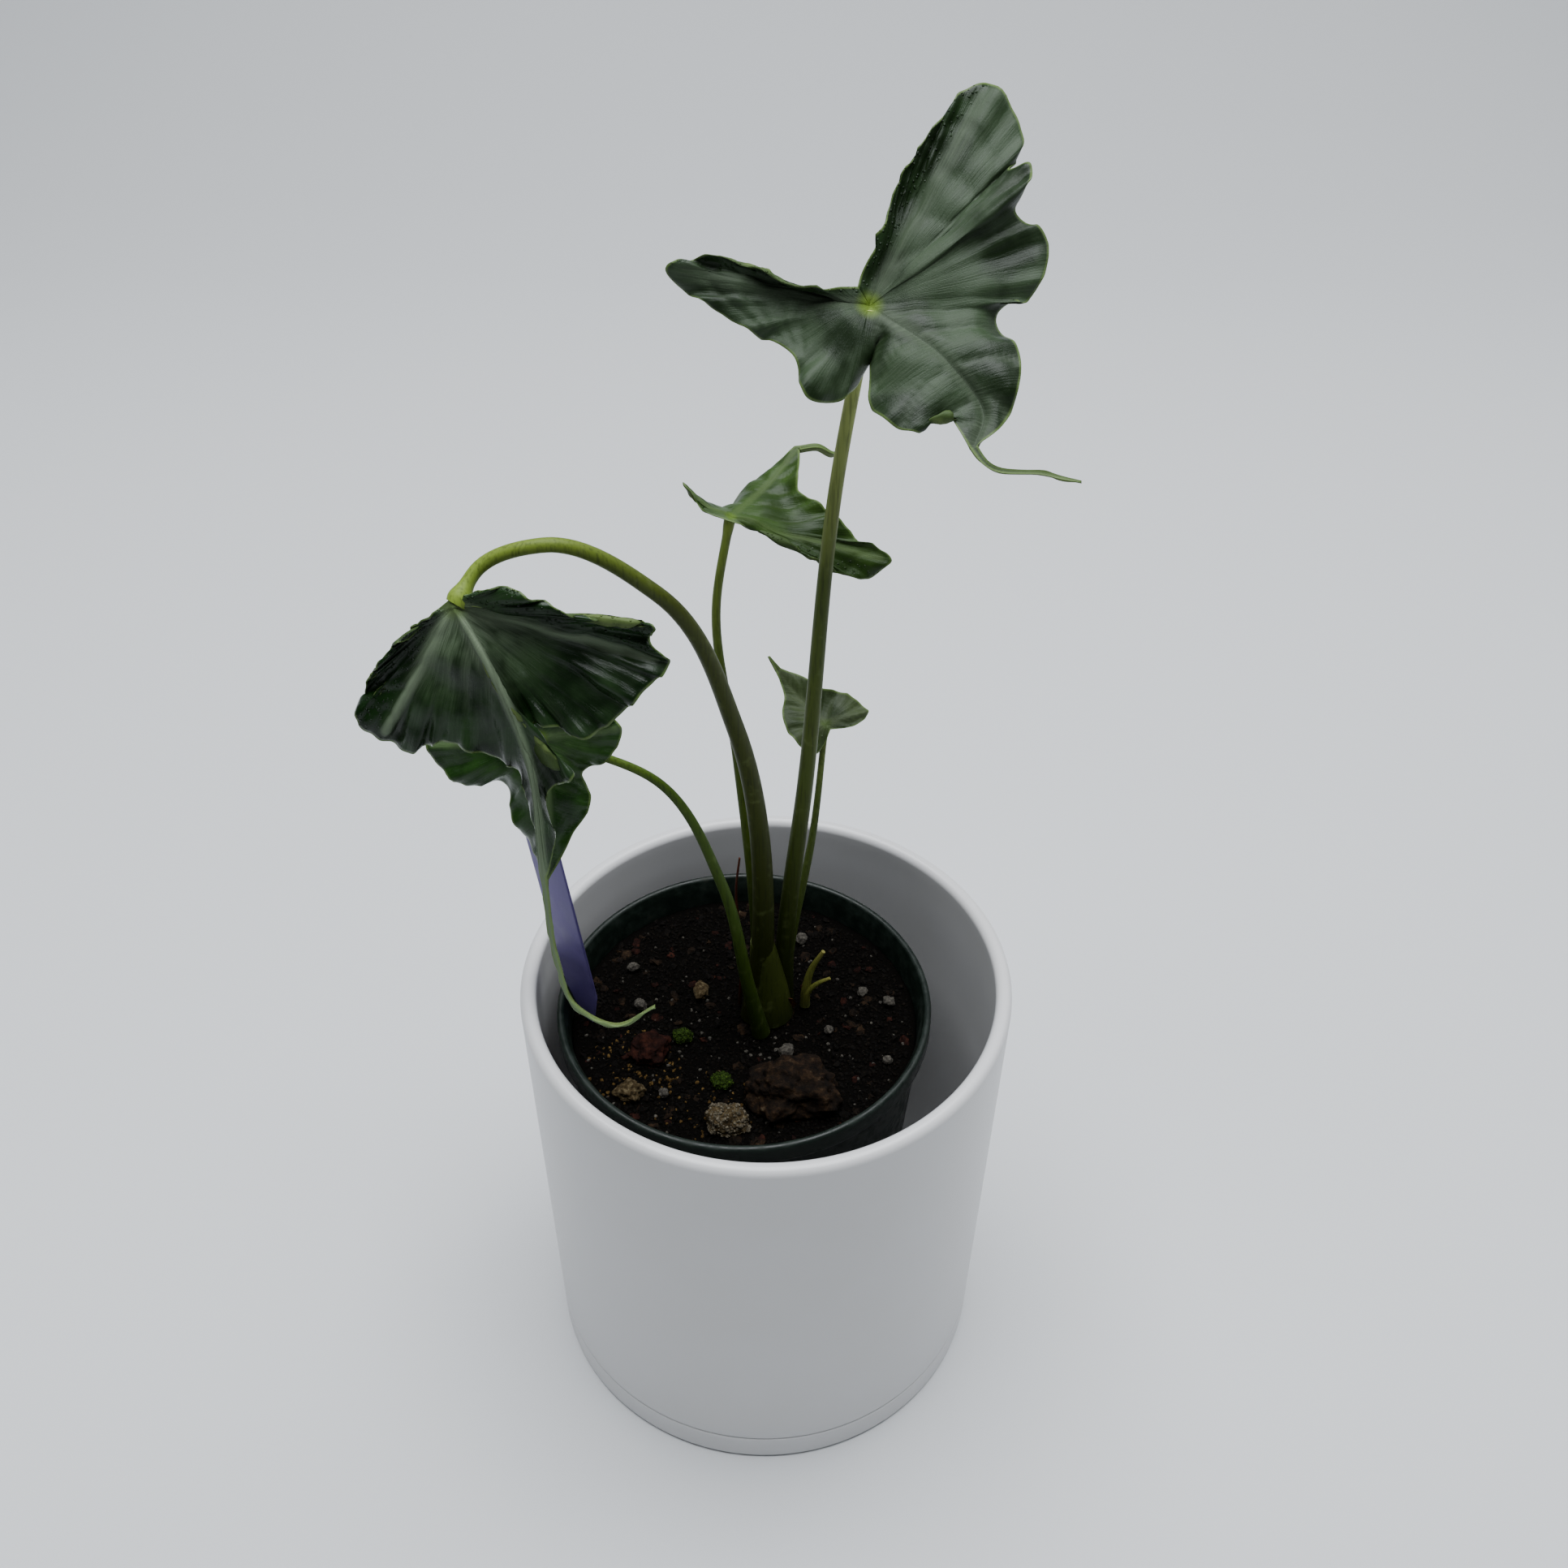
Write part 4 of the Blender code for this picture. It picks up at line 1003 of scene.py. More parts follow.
def leaf_mesh(name, leaf):
    """The closed blade of one leaf, in metres, with its veins and distances stored on it. Its
    halves must agree where they meet, so their normals are shared along the midrib, along the
    first rib at the notch, and round the joint."""
    grids = []
    for side, sign in (("plus_x", 1), ("minus_x", -1)):
        points, known, tip, lobe_count = half_surface(leaf, side, sign)
        normals = grid_normals(points)
        if normals[lobe_count:, 1:, 2].mean() < 0:
            normals = -normals
        costa, sides = vein_lines(points, tip, lobe_count)
        grids.append({"points": points, "known": known, "normals": normals, "costa": costa,
                      "sides": sides, "sign": sign, "lobe": lobe_count})
    plus, minus = grids
    pole = np.array([0.0, 0.0, 1.0])
    for grid in grids:
        near = np.exp(-(np.linalg.norm(grid["points"], axis=2) / 3.0) ** 2)[..., None]
        blended = grid["normals"] * (1 - near) + pole * near
        grid["normals"] = blended / np.linalg.norm(blended, axis=2, keepdims=True)
    shared_notch = plus["normals"][0] + minus["normals"][0]
    plus["normals"][0] = minus["normals"][0] = (
        shared_notch / np.linalg.norm(shared_notch, axis=1, keepdims=True))
    front_plus, front_minus = plus["normals"][plus["lobe"]:], minus["normals"][minus["lobe"]:]
    shared_rib = front_plus[:, 0] + front_minus[:, 0]
    shared_rib = shared_rib / np.linalg.norm(shared_rib, axis=1, keepdims=True)
    front_plus[:, 0] = front_minus[:, 0] = shared_rib
    for grid in grids:
        grid["normals"][:grid["lobe"], 0] = pole

    spine = plus["points"][plus["lobe"]:, 0]
    tops, bottoms = [], []
    stored = {key: [] for key in ("around", "out", "edge", "inner", "vein", "side", "joint")}
    for grid in grids:
        points, normals, known = grid["points"], grid["normals"], grid["known"]
        to_spine = nearest(points, [spine])
        to_costa = nearest(points, [grid["costa"]])
        to_side = nearest(points, grid["sides"])
        inland = np.clip(known["edge"] / 2.0, 0, 1) * np.clip(known["out"] / 3.0, 0, 1)
        crest = leaf["crest"] * np.exp(-(to_spine / 0.9) ** 2)
        crest += COSTA_CREST * np.exp(-to_costa ** 2) * inland
        dip = -SIDE_VEIN_DIP * np.exp(-(to_side / 0.8) ** 2) * inland
        dome = CUSHION * (1 - np.exp(-(np.minimum(to_side, to_spine) / 3.0) ** 2)) * inland
        uneven = np.array([noise.noise(Vector(spot / UNEVEN_SIZE))
                           for spot in points.reshape(-1, 3)])
        uneven = UNEVENNESS * uneven.reshape(to_spine.shape) * np.clip(known["out"] / 6.0, 0, 1)
        uneven *= np.clip(to_spine / 2.0, 0, 1)
        top = points + normals * (crest + dip + dome + uneven)[..., None]
        below = BLADE + MIDRIB_BELOW * np.exp(-(to_spine / 1.1) ** 2)
        below += 0.5 * np.exp(-(to_costa / 0.9) ** 2) * inland
        below += 0.25 * np.exp(-(to_side / 0.6) ** 2) * inland
        below *= np.clip(0.35 + known["edge"] / 0.5, 0, 1)
        bottom = top - normals * below[..., None]
        tops.append(top)
        bottoms.append(bottom)
        for key, value in (("vein", np.minimum(to_spine, to_costa)), ("side", to_side),
                           ("joint", np.linalg.norm(points, axis=2)), *known.items()):
            stored[key].append(np.asarray(value).ravel())
    return closed_blade(name, leaf, grids, tops, bottoms,
                        {key: np.concatenate(value) for key, value in stored.items()})


def closed_blade(name, leaf, grids, tops, bottoms, stored):
    """Joins both halves and both faces into one closed mesh."""
    flat = np.concatenate([top.reshape(-1, 3) for top in tops])
    below = np.concatenate([bottom.reshape(-1, 3) for bottom in bottoms])
    base = np.concatenate([grid["points"].reshape(-1, 3) for grid in grids])
    _, first, index = np.unique(np.round(base, 3), axis=0, return_index=True,
                                return_inverse=True)
    index = index.reshape(-1)
    faces = []
    start = 0
    for grid in grids:
        ribs, columns = grid["points"].shape[:2]
        ids = index[start:start + ribs * columns].reshape(ribs, columns)
        start += ribs * columns
        for here, there in zip(ids, ids[1:]):
            for k in range(columns - 1):
                corners = list(dict.fromkeys((here[k], here[k + 1], there[k + 1], there[k])))
                if len(corners) > 2:
                    faces.append(corners if grid["sign"] > 0 else corners[::-1])
    edges = {}
    for face in faces:
        for a, b in zip(face, face[1:] + face[:1]):
            edges[(a, b)] = edges.get((a, b), 0) + 1
    rim = [(a, b) for (a, b) in edges if (b, a) not in edges]
    count = len(first)
    whole = faces + [[c + count for c in reversed(face)] for face in faces]
    whole += [[b, a, a + count, b + count] for a, b in rim]
    joint, axes = leaf_frame(leaf)
    points = np.vstack([flat[first], below[first]]) @ axes + joint
    points[:, 2] += soil_top
    mesh = bpy.data.meshes.new(name)
    mesh.from_pydata(points * MM, [], [[int(c) for c in face] for face in whole])
    for key, value in {**stored, "under": None}.items():
        layer = mesh.attributes.new(key, "FLOAT", "POINT")
        if value is None:
            both = np.concatenate([np.zeros(count), np.ones(count)])
        else:
            both = np.tile(value[first], 2)
        layer.data.foreach_set("value", both.astype(np.float32))
    mesh.shade_smooth()
    mesh.update()
    return mesh


# %% [markdown]
# ## The look of a leaf
#
# The upper face of these leaves is a deep green under a silvery bloom. The bloom is thickest
# beside the main veins and streams outwards in fine streaks along the ribs, so its pattern is
# noise stretched along each rib, measured by the distances that the mesh stores. Between the
# lobe's main vein and the notch the blade is bare, dark and glossy. The joint is yellow-green,
# the very edge is a thin pale line, and the underside is paler and dull.

# %% Leaf finish


def leaf_finish(name, deep, leafy, silver, heart, bloom, gloss, reach, fade, line):
    """Bloom says how much silver there is, from 0 to 1, and gloss lowers the roughness. Reach
    is how wide the silver beside a main vein is, in mm, and fade how much is left far out.
    Heart is the colour at the joint, and line is how silvery the raised veins themselves are."""
    made, tree, shader = finish_material(name, IOR=1.43, Specular_IOR_Level=0.25)
    vein, side, edge = (attribute(tree, key) for key in ("vein", "side", "edge"))
    joint, under, inner = (attribute(tree, key) for key in ("joint", "under", "inner"))
    around, out = attribute(tree, "around"), attribute(tree, "out")
    along_ribs = node(tree, "ShaderNodeCombineXYZ", X=calc(tree, "MULTIPLY", around, 1.5),
                      Y=calc(tree, "MULTIPLY", out, 0.11), Z=under).outputs["Vector"]
    streaks = noise_at(tree, along_ribs, detail=5.0, roughness=0.6)
    place = texture_place(tree, 1.0)
    patches = noise_at(tree, place, scale=0.075, detail=3.0, roughness=0.5)
    fine = noise_at(tree, place, scale=1.6, detail=3.0)

    beside_vein = remap(tree, vein, 0.4, reach, 1.0, 0.0)
    beside_side = remap(tree, side, 0.2, 2.2, 0.5, 0.0)
    streaky = remap(tree, streaks, 0.34, 0.68, 0.45, 1.0)
    misty = remap(tree, patches, 0.4, 0.6, 0.1, 0.62)
    share = calc(tree, "MAXIMUM", beside_vein, beside_side)
    share = calc(tree, "MAXIMUM", share, misty)
    share = calc(tree, "MULTIPLY", share, streaky)
    bare = calc(tree, "MULTIPLY", inner, remap(tree, vein, 1.2, 3.2, 0.0, 0.85))
    share = calc(tree, "MULTIPLY", share, calc(tree, "SUBTRACT", 1.0, bare))
    share = calc(tree, "MULTIPLY", share, remap(tree, joint, reach, 6.0 * reach, 1.0, fade))
    share = calc(tree, "MULTIPLY", share, bloom)
    share = calc(tree, "MAXIMUM", share, remap(tree, vein, 0.3, 1.8, line, 0.0))

    green = mix(tree, remap(tree, patches, 0.4, 0.65, 0.0, 1.0), srgb(deep), srgb(leafy))
    green = mix(tree, remap(tree, fine, 0.45, 0.8, 0.0, 0.25), green, srgb(deep))
    upper = mix(tree, share, green, srgb(silver))
    upper = mix(tree, remap(tree, edge, 0.12, 0.75, 0.75, 0.0), upper, srgb("5a6f3c"))
    upper = mix(tree, remap(tree, joint, 0.5, 1.0 + 0.7 * reach, 0.85, 0.0), upper, srgb(heart))
    lower = mix(tree, remap(tree, vein, 0.3, 2.0, 0.9, 0.0), srgb("33451f"), srgb("52612f"))
    lower = mix(tree, remap(tree, side, 0.2, 0.9, 0.5, 0.0), lower, srgb("5f6f3c"))
    paint(tree, shader, mix(tree, under, upper, lower))

    worn = remap(tree, share, 0.0, 0.6, 0.55 - 0.28 * gloss, 0.62)
    rough = node(tree, "ShaderNodeMix", {"data_type": "FLOAT"}, Factor=under, A=worn, B=0.6)
    tree.links.new(rough.outputs["Result"], shader.inputs["Roughness"])
    grain = node(tree, "ShaderNodeTexVoronoi", Vector=place, Scale=2.2).outputs["Distance"]
    grainy = bump(tree, shader, grain, 0.02)
    streaked = bump(tree, shader, streaks, 0.14, under=grainy)
    drops = node(tree, "ShaderNodeTexVoronoi", Vector=place, Scale=0.9).outputs["Distance"]
    wet = remap(tree, drops, 0.1, 0.32, 1.0, 0.0)
    bump(tree, shader, calc(tree, "MULTIPLY", wet, bare), 0.35, under=streaked)
    return made


# %% [markdown]
# The tallest leaf is so bloomed that it looks grey, and the drooping and the low one are nearly
# black between their silver veins. The one at the back is a plainer green.

# %% The five finishes
LEAF_LOOKS = {
    "leaf_top": ("grey_leaf", "bloomed_leaf", {
        "deep": "0c1c06", "leafy": "1a2f13", "silver": "465140", "heart": "5c7418",
        "bloom": 0.95, "gloss": 0.68, "reach": 4.0, "fade": 0.75, "line": 0.0}),
    "leaf_drooping": ("dark_leaf", "dark_leaf", {
        "deep": "051703", "leafy": "0f2a08", "silver": "74836a", "heart": "4c6030",
        "bloom": 0.8, "gloss": 1.1, "reach": 4.5, "fade": 0.15, "line": 0.65}),
    "leaf_low": ("dark_leaf", "low_leaf", {
        "deep": "0b2404", "leafy": "1a3c0c", "silver": "5d734a", "heart": "54701a",
        "bloom": 0.5, "gloss": 1.0, "reach": 3.0, "fade": 0.3, "line": 0.5}),
    "leaf_back": ("mid_leaf", "mid_leaf", {
        "deep": "1a2f06", "leafy": "294310", "silver": "4e6034", "heart": "4c661a",
        "bloom": 0.35, "gloss": 0.6, "reach": 1.6, "fade": 0.7, "line": 0.4}),
    "leaf_small": ("grey_leaf", "small_leaf", {
        "deep": "1f2d12", "leafy": "2f3d1d", "silver": "525c40", "heart": "3c4e22",
        "bloom": 0.55, "gloss": 0.4, "reach": 2.0, "fade": 0.8, "line": 0.2}),
}

# %% The five leaves
for name, leaf in LEAVES.items():
    slot, finish_name, look = LEAF_LOOKS[name]
    piece(name + "_blade", leaf_mesh(name, leaf), leaf_finish(finish_name, **look), slot, name)

# %% [markdown]
# ## The crown
#
# The stems come out of a corm, whose top just shows above the mix. The old leaf bases around it
# have dried to a papery brown scale, and a forked shoot beside them has withered. A thin red root
# climbs between the stems.

# %% Corm
corm_bark, tree, shader = finish_material("fibrous_corm", Roughness=0.8, Specular_IOR_Level=0.08)
place = texture_place(tree, 1.0)
rings = node(tree, "ShaderNodeMapping", Vector=place, Scale=(0.25, 0.25, 1.4)).outputs["Vector"]
fibres = noise_at(tree, rings, detail=6.0, roughness=0.65)
paint(tree, shader, ramp(tree, fibres, (0.35, "0c0803"), (0.55, "1c1408"), (0.7, "302c14")))
bump(tree, shader, fibres, 0.5)
corm_low, corm_high = node_box("corm")
corm_x = (corm_low[0] + corm_high[0]) / 2
corm_y = (corm_low[1] + corm_high[1]) / 2
corm_radius = (corm_high[0] - corm_low[0]) / 2


def corm_mesh():
    """An egg whose top is drawn in around the stems, with a rough skin."""
    height = corm_high[2] - corm_low[2]
    profile = [(0.0, corm_low[2])]
    for i in range(1, 40):
        share = i / 40
        belly = math.sin(math.pi * (0.06 + 0.80 * share)) ** 0.55
        profile.append((corm_radius * 0.99 * belly, corm_low[2] + height * share))
    profile += [(corm_radius * 0.62, corm_high[2]), (0.0, corm_high[2])]
    bm = turned(profile, 96, False)
    bmesh.ops.translate(bm, vec=(corm_x, corm_y, 0), verts=bm.verts)
    for vert in bm.verts:
        rough = noise.noise(vert.co / 2.4) * 0.25
        vert.co.x += (vert.co.x - corm_x) * rough * 0.1
        vert.co.y += (vert.co.y - corm_y) * rough * 0.1
        if vert.co.z > corm_high[2] - 2.0:
            vert.co.z += min(rough, 0.0) * 2.0
    return mesh_of(bm, "corm", 60.0)


piece("fibrous_corm", corm_mesh(), corm_bark, "corm", "corm")

# %% Papery bract
bract_finish, tree, shader = finish_material("dry_brown_scale", Roughness=0.7,
                                             Specular_IOR_Level=0.15)
place = texture_place(tree, 1.0)
grainy = node(tree, "ShaderNodeMapping", Vector=place, Scale=(1.5, 1.5, 0.25)).outputs["Vector"]
ribs = noise_at(tree, grainy, detail=4.0)
paint(tree, shader, ramp(tree, ribs, (0.35, "1e0f05"), (0.55, "42240e"), (0.7, "6b4722")))
bump(tree, shader, ribs, 0.12)


BRACT_RADIUS = 4.15
BRACT_THICKNESS = 0.3
BRACT_STARTS, BRACT_TURN = -105, 70  # degrees round the stem


def bract_mesh():
    """A thin curved scale with a rounded, slightly curled top."""
    low, high = node_box("papery_bract")
    foot = STEMS["stem_top"]["foot"]
    inner, thickness = BRACT_RADIUS, BRACT_THICKNESS
    across, up = 40, 24
    bm = bmesh.new()
    sheets = []
    for extra in (0.0, thickness):
        sheet = []
        for i in range(across + 1):
            share = i / across
            turn = math.radians(BRACT_STARTS + BRACT_TURN * share)
            tall = (high[2] - low[2] - 0.3) * (0.28 + 0.72 * math.sin(math.pi * share) ** 0.8)
            column = []
            for k in range(up + 1):
                rise_share = k / up
                ripple = 0.12 * math.sin(14 * share + 5 * rise_share)
                radius = inner + extra + 0.9 * rise_share ** 2 + ripple * rise_share
                column.append(bm.verts.new((foot[0] + radius * math.cos(turn),
                                            foot[1] + radius * math.sin(turn),
                                            low[2] + tall * rise_share)))
            sheet.append(column)
        sheets.append(sheet)
    inside, outside = sheets
    for i in range(across):
        for k in range(up):
            for sheet in sheets:
                bm.faces.new([sheet[i][k], sheet[i + 1][k], sheet[i + 1][k + 1], sheet[i][k + 1]])
        for k in (0, up):
            bm.faces.new([inside[i][k], inside[i + 1][k], outside[i + 1][k], outside[i][k]])
    for i in (0, across):
        for k in range(up):
            bm.faces.new([inside[i][k], inside[i][k + 1], outside[i][k + 1], outside[i][k]])
    return mesh_of(bm, "papery_scale", 60.0)


piece("papery_scale", bract_mesh(), bract_finish, "bract", "papery_bract")

# %% Withered shoot and thin root
shoot_finish = stem_finish("withering_shoot", "383b1a", "585b26", "706c36", 0.8)
root_finish = stem_finish("reddish_root", "250e08", "3d1a0f", "4a2618", 0.8)


def thin_shoot(name, foot, bends, end, base, tip, material, slot, replaced):
    """A plain tapering stem with no knee, from a diameter at the base to one at the tip."""
    path = smooth_path([(*foot, STEM_FOOT)] + bends + [end], 12)
    done = lengths_along(path)
    diameters = base + (tip - base) * done / done[-1]
    swept_stem(name, path, diameters, material, slot, replaced, spacing=0.0006, sides=16)


thin_shoot("withered_sprout", (11.4, 6.2), [(11.6, 6.6, 7), (13.2, 7, 15)], (16.4, 7, 22),
           3.2, 1.2, shoot_finish, "shoot", "withered_shoot")
thin_shoot("sprout_fork", (11.4, 6.0), [(12.4, 5.6, 7), (15.5, 5.2, 11)], (18.5, 5, 13), 2.6, 0.9,
           shoot_finish, "shoot", "withered_shoot")
thin_shoot("red_root", (-7.9, 6.6), [(-7.2, 8, 20), (-8.6, 10, 45)], (-7.6, 10.6, 55),
           1.1, 0.6, root_finish, "root", "aerial_root")

# %% [markdown]
# The two thickest stems rise out of one wrapped sheath. A short cone of the stems' own tissue
# around both feet is enough, because the sheath hugs them and ends within their width.

# %% Sheath at the crown
sheath_finish = stem_finish("crown_sheath", "1a1f07", "2c340e", "3b4516", 0.8)
thin_shoot("wrapped_sheath", (0.6, 3.8), [(0.4, 4.0, 9), (-0.3, 3.8, 19)], (-1.4, 3.4, 30), 14.8,
           6.6, sheath_finish, "stem", "stem_drooping")

# %% [markdown]
# ## Bark, moss and perlite
#
# Bark pieces are broken lumps. Each is a sphere pushed in and out by three sizes of noise and by
# broken facets. It is cut flat below, and stretched to fill the box of its plain solid.

# %% Lump finishes


def rough_finish(name, *stops, size, relief):
    """A rough mineral or woody surface, coloured by noise of a size in millimetres."""
    made, tree, shader = finish_material(name, Roughness=0.85, Specular_IOR_Level=0.08)
    place = texture_place(tree, size)
    cloud = noise_at(tree, place, detail=7.0, roughness=0.65)
    paint(tree, shader, ramp(tree, cloud, *stops))
    bump(tree, shader, cloud, relief)
    return made


bark_finish = rough_finish("dark_fir_bark", (0.34, "060403"), (0.5, "140d07"), (0.62, "261a0f"),
                           (0.78, "4a4030"), size=3.0, relief=1.2)
pale_bark_finish = rough_finish("weathered_bark", (0.32, "171209"), (0.5, "352b1a"),
                                (0.68, "5c523d"), size=1.4, relief=0.6)
red_bark_finish = rough_finish("red_bark", (0.34, "080302"), (0.52, "1c0a06"), (0.7, "32180f"),
                               size=2.2, relief=0.9)
moss_finish = rough_finish("green_moss", (0.32, "0c1404"), (0.5, "1e2e0a"), (0.7, "3c5016"),
                           size=0.6, relief=0.4)
# Perlite is white; these greys are painted shade, standing in for the shade over the soil.
perlite_finish = rough_finish("grey_perlite", (0.3, "201e1b"), (0.5, "393631"), (0.7, "58544c"),
                              size=0.8, relief=0.25)
# The crumbs are as near black as the soil: dark by nature, and darkened further as painted shade.
crumb_finish = rough_finish("dark_crumbs", (0.35, "020101"), (0.55, "060402"), (0.72, "160f08"),
                            size=0.9, relief=0.3)
golden_finish = rough_finish("golden_granules", (0.3, "181005"), (0.5, "3c2c12"),
                             (0.7, "66512c"), size=0.8, relief=0.2)

# %% Lumps


def lump(name, replaced, material, slot, seed, detail, wild):
    """A broken lump that fills the box of the plain solid it stands for. Detail is how often the
    sphere is split, and wild is how far it is pushed out of round."""
    low, high = node_box(replaced)
    bm = bmesh.new()
    bmesh.ops.create_icosphere(bm, subdivisions=detail, radius=1.0)
    for vert in bm.verts:
        spot = vert.co + Vector((seed, 0.0, 0.0))
        push = 1 + wild * noise.noise(spot * 1.5) + 0.45 * wild * noise.noise(spot * 4.0)
        facets = noise.voronoi(spot * 1.8)[0][0]
        vert.co *= push + 0.5 * wild * facets + 0.1 * wild * noise.noise(spot * 11.0)
        vert.co.z = max(vert.co.z, -0.35)
    corners = np.array([vert.co for vert in bm.verts])
    start, size = corners.min(axis=0), np.ptp(corners, axis=0)
    for vert in bm.verts:
        for axis in range(3):
            share = (vert.co[axis] - start[axis]) / size[axis]
            vert.co[axis] = low[axis] + (high[axis] - low[axis]) * share
    return piece(name, mesh_of(bm, name, 180.0), material, slot, replaced)


lump("fir_bark", "bark_chunk", bark_finish, "bark", 1.0, 6, 0.42)
crust_lump = lump("crusted_bark", "bark_crust", pale_bark_finish, "pale_bark", 2.0, 5, 0.35)
lump("red_bark_piece", "red_bark", red_bark_finish, "red_bark", 3.0, 5, 0.4)
lump("pale_bark_piece", "pale_bark", pale_bark_finish, "pale_bark", 7.0, 5, 0.35)
lump("shard_piece", "bark_shard", pale_bark_finish, "pale_bark", 6.0, 4, 0.3)
moss_front_lump = lump("moss_cushion_front", "moss_front", moss_finish, "moss", 5.0, 5, 0.35)
moss_left_lump = lump("moss_cushion_left", "moss_left", moss_finish, "moss", 4.0, 5, 0.35)
for number in range(1, 10):
    lump(f"perlite_grain_{number}", f"perlite_{number}", perlite_finish, "perlite",
         10.0 + number, 4, 0.3)

# %% [markdown]
# ## Loose grains
#
# A potting mix is thousands of grains, so they are scattered, not placed. One Geometry Nodes
# tree does it for every kind: it spreads points on a patch of ground, puts a small rough stone on
# each, turns and sizes it at random, and makes it all one real mesh. Its inputs say how dense,
# how large and how flat the grains are.

# %% A tree that scatters grains


def grain_tree():
    """Rough stones of random size and turn on random points of a surface."""
    tree, given, result = new_tree(
        "scattered_grains",
        ("Density", "NodeSocketFloat", 50000.0),
        ("Seed", "NodeSocketInt", 1),
        ("Size", "NodeSocketFloat", 0.001),
        ("Flatness", "NodeSocketFloat", 0.8),
        ("Tilt", "NodeSocketFloat", 3.1),
        ("Rounding", "NodeSocketInt", 1),
        ("Material", "NodeSocketMaterial", None),
    )
    seed = given.outputs["Seed"]
    tilt = given.outputs["Tilt"]
    points = node(tree, "GeometryNodeDistributePointsOnFaces", Mesh=given.outputs["Geometry"],
                  Density=given.outputs["Density"], Seed=seed)
    stone = node(tree, "GeometryNodeMeshIcoSphere", Radius=0.5,
                 Subdivisions=given.outputs["Rounding"])
    flat = node(tree, "ShaderNodeCombineXYZ", X=1.0, Y=0.8, Z=given.outputs["Flatness"])
    squashed = node(tree, "GeometryNodeTransform", Geometry=stone.outputs["Mesh"],
                    Scale=flat.outputs["Vector"])
    tilt_back = calc(tree, "MULTIPLY", tilt, -1.0)
    low_turn = node(tree, "ShaderNodeCombineXYZ", X=tilt_back, Y=tilt_back, Z=-3.1416)
    high_turn = node(tree, "ShaderNodeCombineXYZ", X=tilt, Y=tilt, Z=3.1416)
    turn = node(tree, "FunctionNodeRandomValue", {"data_type": "FLOAT_VECTOR"},
                Min=low_turn.outputs["Vector"], Max=high_turn.outputs["Vector"], Seed=seed)
    small = calc(tree, "MULTIPLY", given.outputs["Size"], 0.35)
    large = calc(tree, "MULTIPLY", given.outputs["Size"], 1.15)
    size = node(tree, "FunctionNodeRandomValue", {"data_type": "FLOAT"}, Min=small, Max=large,
                Seed=seed)
    placed = node(tree, "GeometryNodeInstanceOnPoints", Points=points.outputs["Points"],
                  Instance=squashed.outputs["Geometry"], Rotation=turn.outputs["Value"],
                  Scale=size.outputs["Value"])
    real = node(tree, "GeometryNodeRealizeInstances", Geometry=placed.outputs["Instances"])
    where = node(tree, "GeometryNodeInputPosition").outputs["Position"]
    rough = node(tree, "ShaderNodeTexNoise", Vector=where, Scale=900.0, Detail=1.0)
    centred = node(tree, "ShaderNodeVectorMath", {"operation": "SUBTRACT"},
                   Vector=rough.outputs["Color"], Vector__1=(0.5, 0.5, 0.5))
    reach = calc(tree, "MULTIPLY", given.outputs["Size"], 0.6)
    offset = node(tree, "ShaderNodeVectorMath", {"operation": "SCALE"},
                  Vector=centred.outputs["Vector"], Scale=reach)
    chipped = node(tree, "GeometryNodeSetPosition", Geometry=real.outputs["Geometry"],
                   Offset=offset.outputs["Vector"])
    dressed = node(tree, "GeometryNodeSetMaterial", Geometry=chipped.outputs["Geometry"],
                   Material=given.outputs["Material"])
    tree.links.new(dressed.outputs["Geometry"], result.inputs["Geometry"])
    return tree


scatter = grain_tree()

# %% Patches of ground to scatter on


def ground_patch(angle, share, reach):
    """A disc of the soil's surface, at a direction and a share of the way to the wall."""
    turn = math.radians(angle)
    middle_x = nursery_x + soil_radius * share * math.cos(turn)
    middle_y = nursery_y + soil_radius * share * math.sin(turn)
    bm = bmesh.new()
    bmesh.ops.create_grid(bm, x_segments=60, y_segments=60, size=reach)
    bmesh.ops.translate(bm, vec=(middle_x, middle_y, soil_top), verts=bm.verts)
    outside = [vert for vert in bm.verts
               if math.hypot(vert.co.x - middle_x, vert.co.y - middle_y) > reach
               or math.hypot(vert.co.x - nursery_x, vert.co.y - nursery_y) > soil_radius - 0.8]
    bmesh.ops.delete(bm, geom=outside, context="VERTS")
    for vert in bm.verts:
        vert.co.z -= ground(vert.co.x, vert.co.y)
    return placed_in_scene("patch", mesh_of(bm, "patch", 180.0))


def grains(name, patch, material, slot, per_square_mm, size_mm, seed, flat, tilt, rounding):
    """Scatters one kind of grain on a patch: how many to a square millimetre, and how large."""
    mesh = grown(patch, scatter, name, Density=per_square_mm / MM ** 2, Seed=seed,
                 Size=size_mm * MM, Flatness=flat, Tilt=tilt, Rounding=rounding,
                 Material=material)
    mesh.shade_flat()
    piece(name, mesh, material, slot)


# %% [markdown]
# Each kind of grain is a line in a table: where it lies (a direction in degrees, a share of the
# way to the wall, and a reach), its finish and slot, how many to a square millimetre, its size,
# its seed, how flat it is, how far it may tilt, and how round. Most lie everywhere; white grains
# crowd beside the crown, and golden ones at the front and left.

